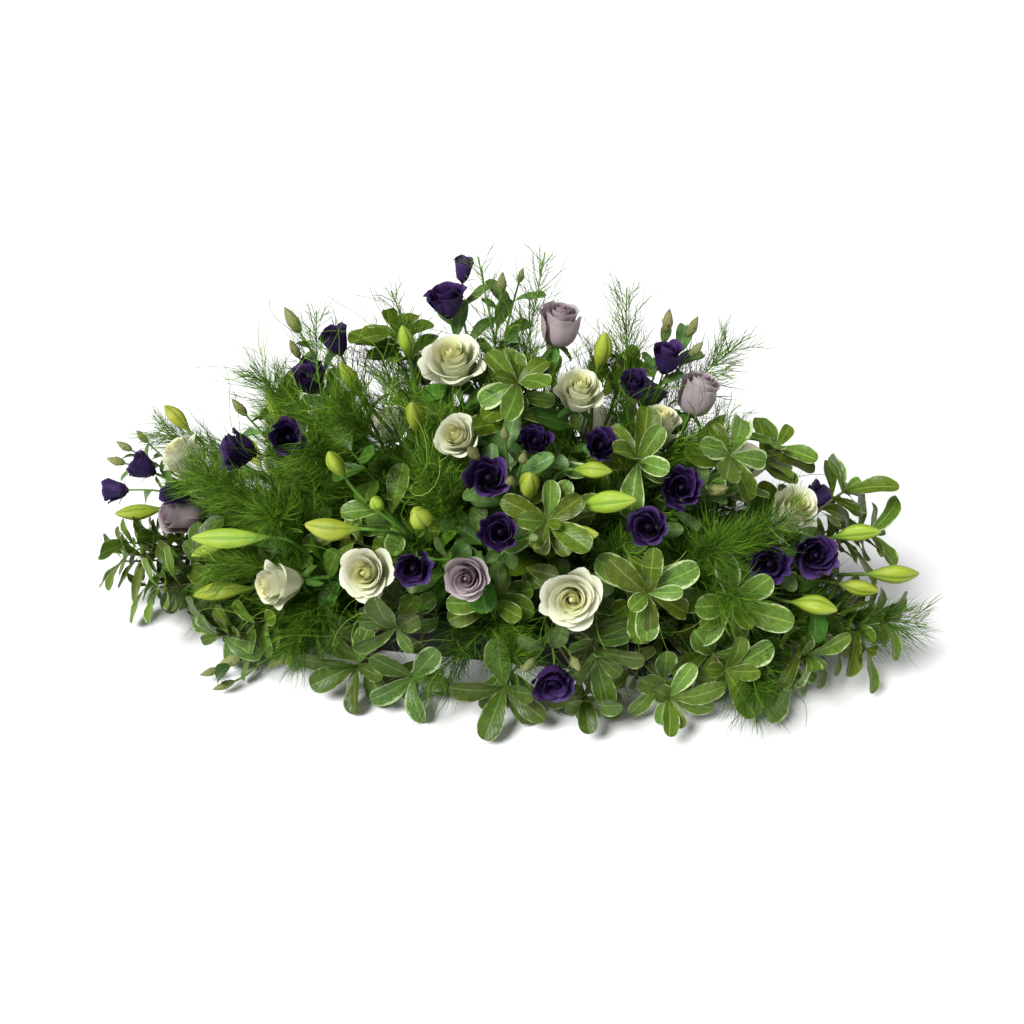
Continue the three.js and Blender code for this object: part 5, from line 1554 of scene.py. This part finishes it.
def fern_thread(sheets, foot, ahead, long, draw):
    """A long bare twig that curls through the greenery."""
    u, w = (np.array(v) for v in sides_of(tuple(ahead)))
    s = np.linspace(0, 1, 15)[:, None]
    a, turns = 6 * draw(), 2 + 4 * draw()
    curl = u * np.cos(a + turns * s) + w * np.sin(a + turns * s)
    off = curl * s - (u * math.cos(a) + w * math.sin(a)) * 0.3 * s
    path = np.array(foot) + np.array(ahead) * long * s + off * 0.3 * long
    if is_in_box(path, 1) and path[:, 2].min() >= 2 and head_space.is_clear([(*p, 1.0) for p in path[4:]]):
        twig(sheets, path, 0.6, 0.3, 0.15 + 0.85 * draw())


# Asparagus fern, its stems a little slimmer than the solids'
SLIMMER = 0.8
for name, plant, draw in each("fern", 900):
    fronds = Sheets()
    add_stems(fronds, plant, FORKS["fern"]["stem"] * SLIMMER, FORKS["fern"]["shoot"] * SLIMMER, draw)
    fern_ribs(fronds, plant["trunk"], 24, draw, 0.25, 1, 62, 2, 34)
    for k, shoot in enumerate(plant["shoots"]):
        for p, ahead, long in [placed for way, placed in plant["twigs"] if way == k and placed]:
            thin = wispiness(p)
            fern_spray(fronds, p, ahead, 0.7 * long, draw, 6 + 5 * thin, 24 - 5 * thin)
        fern_ribs(fronds, shoot, 40, draw, 0.08, 0.92, 56, 2, 30)
    make_piece(f"{name}.fronds", fronds, [FERN_STEM, FERN_GREEN], "asparagus_fern", name)

# Short leafy stems close the gaps round the foam, as florists' greenery does
LEAFY = dict(
    pittosporum=dict(SPRIG_SPRAY, step=13),
    ovate=dict(ROSE_SPRAY, step=15, long=52, wide=30),
)

# Those of fern: steps along the stem, the share where ribs start, the ribs' length, their number at a
# step and their needles' length. Then the steps that bare threads leave from, how loosely they leave in
# each direction, and their length.
FERNY = dict(
    fern=((26, 0.2, 55, 2, 28), (-4, -3, -2, -1), ((1, 0.5), (1, 0.5), (1, 0.5)), (70, 60)),
    crest=((22, 0.3, 84, 3, 20), (-4, -4, -4, -4), ((1.1, 0.5), (0.6, 0.5), (0.5, 0)), (80, 70)),
    threads=((14, 0.3, 42, 1, 22), range(-9, 0), ((1.4, 0.5), (1, 0.7), (1, 0.6)), (60, 70)),
    low=((20, 0.3, 60, 2, 26), (), (), (0, 0)),
)
BEFORE_FOAM = dict(half=190, front=-70, high=130)

# Most end on a dome: how many, its half length, half depth, foot and height. Others hang low past both
# ends of the tray, as a skirt: how many, its half length, foot, height and sweep round each end. Fern
# stands along a crest: how many, its left end, length and top, which falls as a parabola from its middle,
# and its depth.
BITS, DOME_LONG, DOME_DEEP, DOME_LOW, DOME_TALL = 110, 445, 215, 50, 330
SKIRT, SKIRT_LONG, SKIRT_LOW, SKIRT_TALL, SKIRT_SWEEP = 44, 460, 34, 70, 2.4
CREST, CREST_LEFT, CREST_LONG, CREST_TOP = 30, -330, 590, 400
CREST_FALL, CREST_MIDDLE, CREST_HALF = 125, -10, 325
CREST_FRONT, CREST_DEEP = -60, 110

# The rest end at single places: they round off both ends and the front corners, hang low at the front,
# or veil the upper roses
END_BITS = [
    (-458, -36, 92), (-446, 0, 72), (-420, -80, 70), (-330, -142, 52), (-280, -160, 60), (-474, -46, 66),
    (-452, -76, 100), (-436, -62, 44), (-395, -108, 84), (430, -52, 96), (415, -84, 60), (345, -130, 46),
    (390, 20, 150), (330, -20, 215),
]
LOW_BITS = [
    (-345, -120, 62), (-296, -140, 74), (-262, -150, 52), (-250, -118, 100),
    (340, -95, 90), (290, -130, 60),
]
VEIL_BITS = [(-98, -68, 316), (-66, -84, 318), (-34, -80, 308), (-70, -120, 280), (-390, -40, 178)]
draw = draws_from(1000)
fillers = {sort: Sheets() for sort in ("pittosporum", "ovate", "fern", "crest", "low")}


def fill_gap(target, sort, is_end=False):
    """A short leafy stem that ends at `target`, where it crosses no bloom."""
    bit = stem_path(target, unit(sub(target, source_for(target))), 0, 0, 3)
    if not head_space.is_clear(balls_along(bit.path, 2.5)):
        return
    sheets = fillers["low" if sort == "threads" else sort]
    points, directions = bit.fine(14)
    tube(sheets, points, directions, 1.3, draw())
    if is_end:
        crown(sheets, frames_on(bit.path)[-1], BIT_RINGS, draw, sort)
    if sort in LEAFY:
        clothe(sheets, bit, LEAFY[sort], draw, sort, last=0)
        return
    (steps, first, *ribs), feet, loose, (least, more) = FERNY[sort]
    fern_ribs(sheets, bit, steps, draw, first, 1, *ribs)
    for i in feet:
        heading = directions[-1 if sort == "crest" else i]
        aside = tuple(most * (draw() - less) for most, less in loose)
        fern_thread(sheets, points[i], unit(add(heading, aside)), least + more * draw(), draw)


for i in range(BITS):
    turn = GOLDEN * i
    lift = math.asin(clamp(0.03 + 0.95 * ((i + 0.5) / BITS) ** 1.1, 0, 1))
    share = 0.55 + 0.3 * draw()
    x = DOME_LONG * share * math.cos(lift) * math.cos(turn)
    y = DOME_DEEP * share * math.cos(lift) * math.sin(turn)
    target = (x, y, DOME_LOW + DOME_TALL * share * math.sin(lift))
    sort = ("pittosporum", "ovate", "fern")[i % 3]
    fill_gap(target, "threads" if is_before_foam(target, **BEFORE_FOAM) else sort)
for i in range(SKIRT):
    side = -1 if i % 2 else 1
    turn = SKIRT_SWEEP * ((i // 2 + 0.5) / (SKIRT // 2) - 0.5)
    share = 0.62 + 0.28 * draw()
    x, y = side * SKIRT_LONG * share * math.cos(turn), DOME_DEEP * share * math.sin(turn)
    sort = ("pittosporum", "ovate", "pittosporum", "fern")[i // 2 % 4]
    fill_gap((x, y, SKIRT_LOW + SKIRT_TALL * draw()), sort)
for target in END_BITS:
    for m in range(3):
        near = tuple(c + 26 * (draw() - 0.5) for c in target)
        fill_gap(near, "pittosporum", is_end=True)
for target in LOW_BITS:
    fill_gap(target, "low")
    fill_gap(add(target, (10, 20, 30)), "ovate")
for i in range(CREST):
    x = CREST_LEFT + CREST_LONG * (i + 0.5) / CREST
    top = CREST_TOP - CREST_FALL * ((x - CREST_MIDDLE) / CREST_HALF) ** 2
    fill_gap((x, CREST_DEEP * draw() + CREST_FRONT, top * (0.7 + 0.2 * draw())), "crest")
for target in VEIL_BITS:
    fill_gap(target, "crest")
LEAFY_LOOKS = dict(pittosporum=[WOODY_STEM, CREAM_EDGED], ovate=[GREEN_STEM, ROSE_GREEN])
for sort, sheets in fillers.items():
    slot = "pittosporum_leaves" if sort in LEAFY else "asparagus_fern"
    make_piece(f"filling.{sort}", sheets, LEAFY_LOOKS.get(sort, [FERN_STEM, FERN_GREEN]), slot)

# The tray's black plastic and the wet foam keep their solids, with a grained surface of their own
BLACK = ((0.4, (0.008, 0.008, 0.009)), (0.75, (0.02, 0.021, 0.022)))
DARK_GREEN = ((0.3, (0.012, 0.045, 0.014)), (0.7, (0.03, 0.09, 0.03)))
OWN_LOOKS = dict(
    tray=grained_look("tray_plastic_grain", 0.5, BLACK, (14, 3), (900, 2), 0.0002),
    foam=grained_look("wet_foam", 0.85, DARK_GREEN, (60, 3), (700, 4), 0.0012),
)
for node, look in OWN_LOOKS.items():
    for slot in frame["nodes"][node].material_slots:
        slot.material = look

# A white floor that reaches this many metres to each side, even white light all round, and a wide soft
# light from above
FLOOR = 8
paper = Look("floor_paper", rough=0.9, shine=0.1)
white = paper.ramp(paper.noise(30, 2), (0.0, (0.88, 0.88, 0.88)), (1.0, (0.92, 0.92, 0.92)))
ground = bpy.data.meshes.new("floor")
corners = [(FLOOR * x, FLOOR * y, 0) for x, y in ((-1, -1), (1, -1), (1, 1), (-1, 1))]
ground.from_pydata(corners, [], [(0, 1, 2, 3)])
ground.materials.append(paper.finish(white))
ground = bpy.data.objects.new("floor", ground)
bpy.context.scene.collection.objects.link(ground)

world = bpy.data.worlds.new("studio")
world.use_nodes = True
world.node_tree.nodes["Background"].inputs["Color"].default_value = (1, 1, 1, 1)
world.node_tree.nodes["Background"].inputs["Strength"].default_value = 0.34
bpy.context.scene.world = world

lamp = bpy.data.lights.new("key", "SUN")
lamp.energy, lamp.angle = 4.7, math.radians(25)
key = bpy.data.objects.new("key", lamp)
key.location = (-0.9, -1.4, 1.9)
key.rotation_mode = "QUATERNION"
key.rotation_quaternion = (Vector((0, 0, 0.15)) - key.location).to_track_quat("-Z", "Y")
bpy.context.scene.collection.objects.link(key)

eye = bpy.data.cameras.new("photo")
eye.lens, eye.sensor_width = LENS, 36
camera = bpy.data.objects.new("photo", eye)
camera.location = EYE * 0.001
camera.rotation_mode = "QUATERNION"
camera.rotation_quaternion = Vector(-VIEW_BACK).to_track_quat("-Z", "Y")
bpy.context.scene.collection.objects.link(camera)
bpy.context.scene.camera = camera
bpy.context.scene.view_settings.view_transform = "Standard"
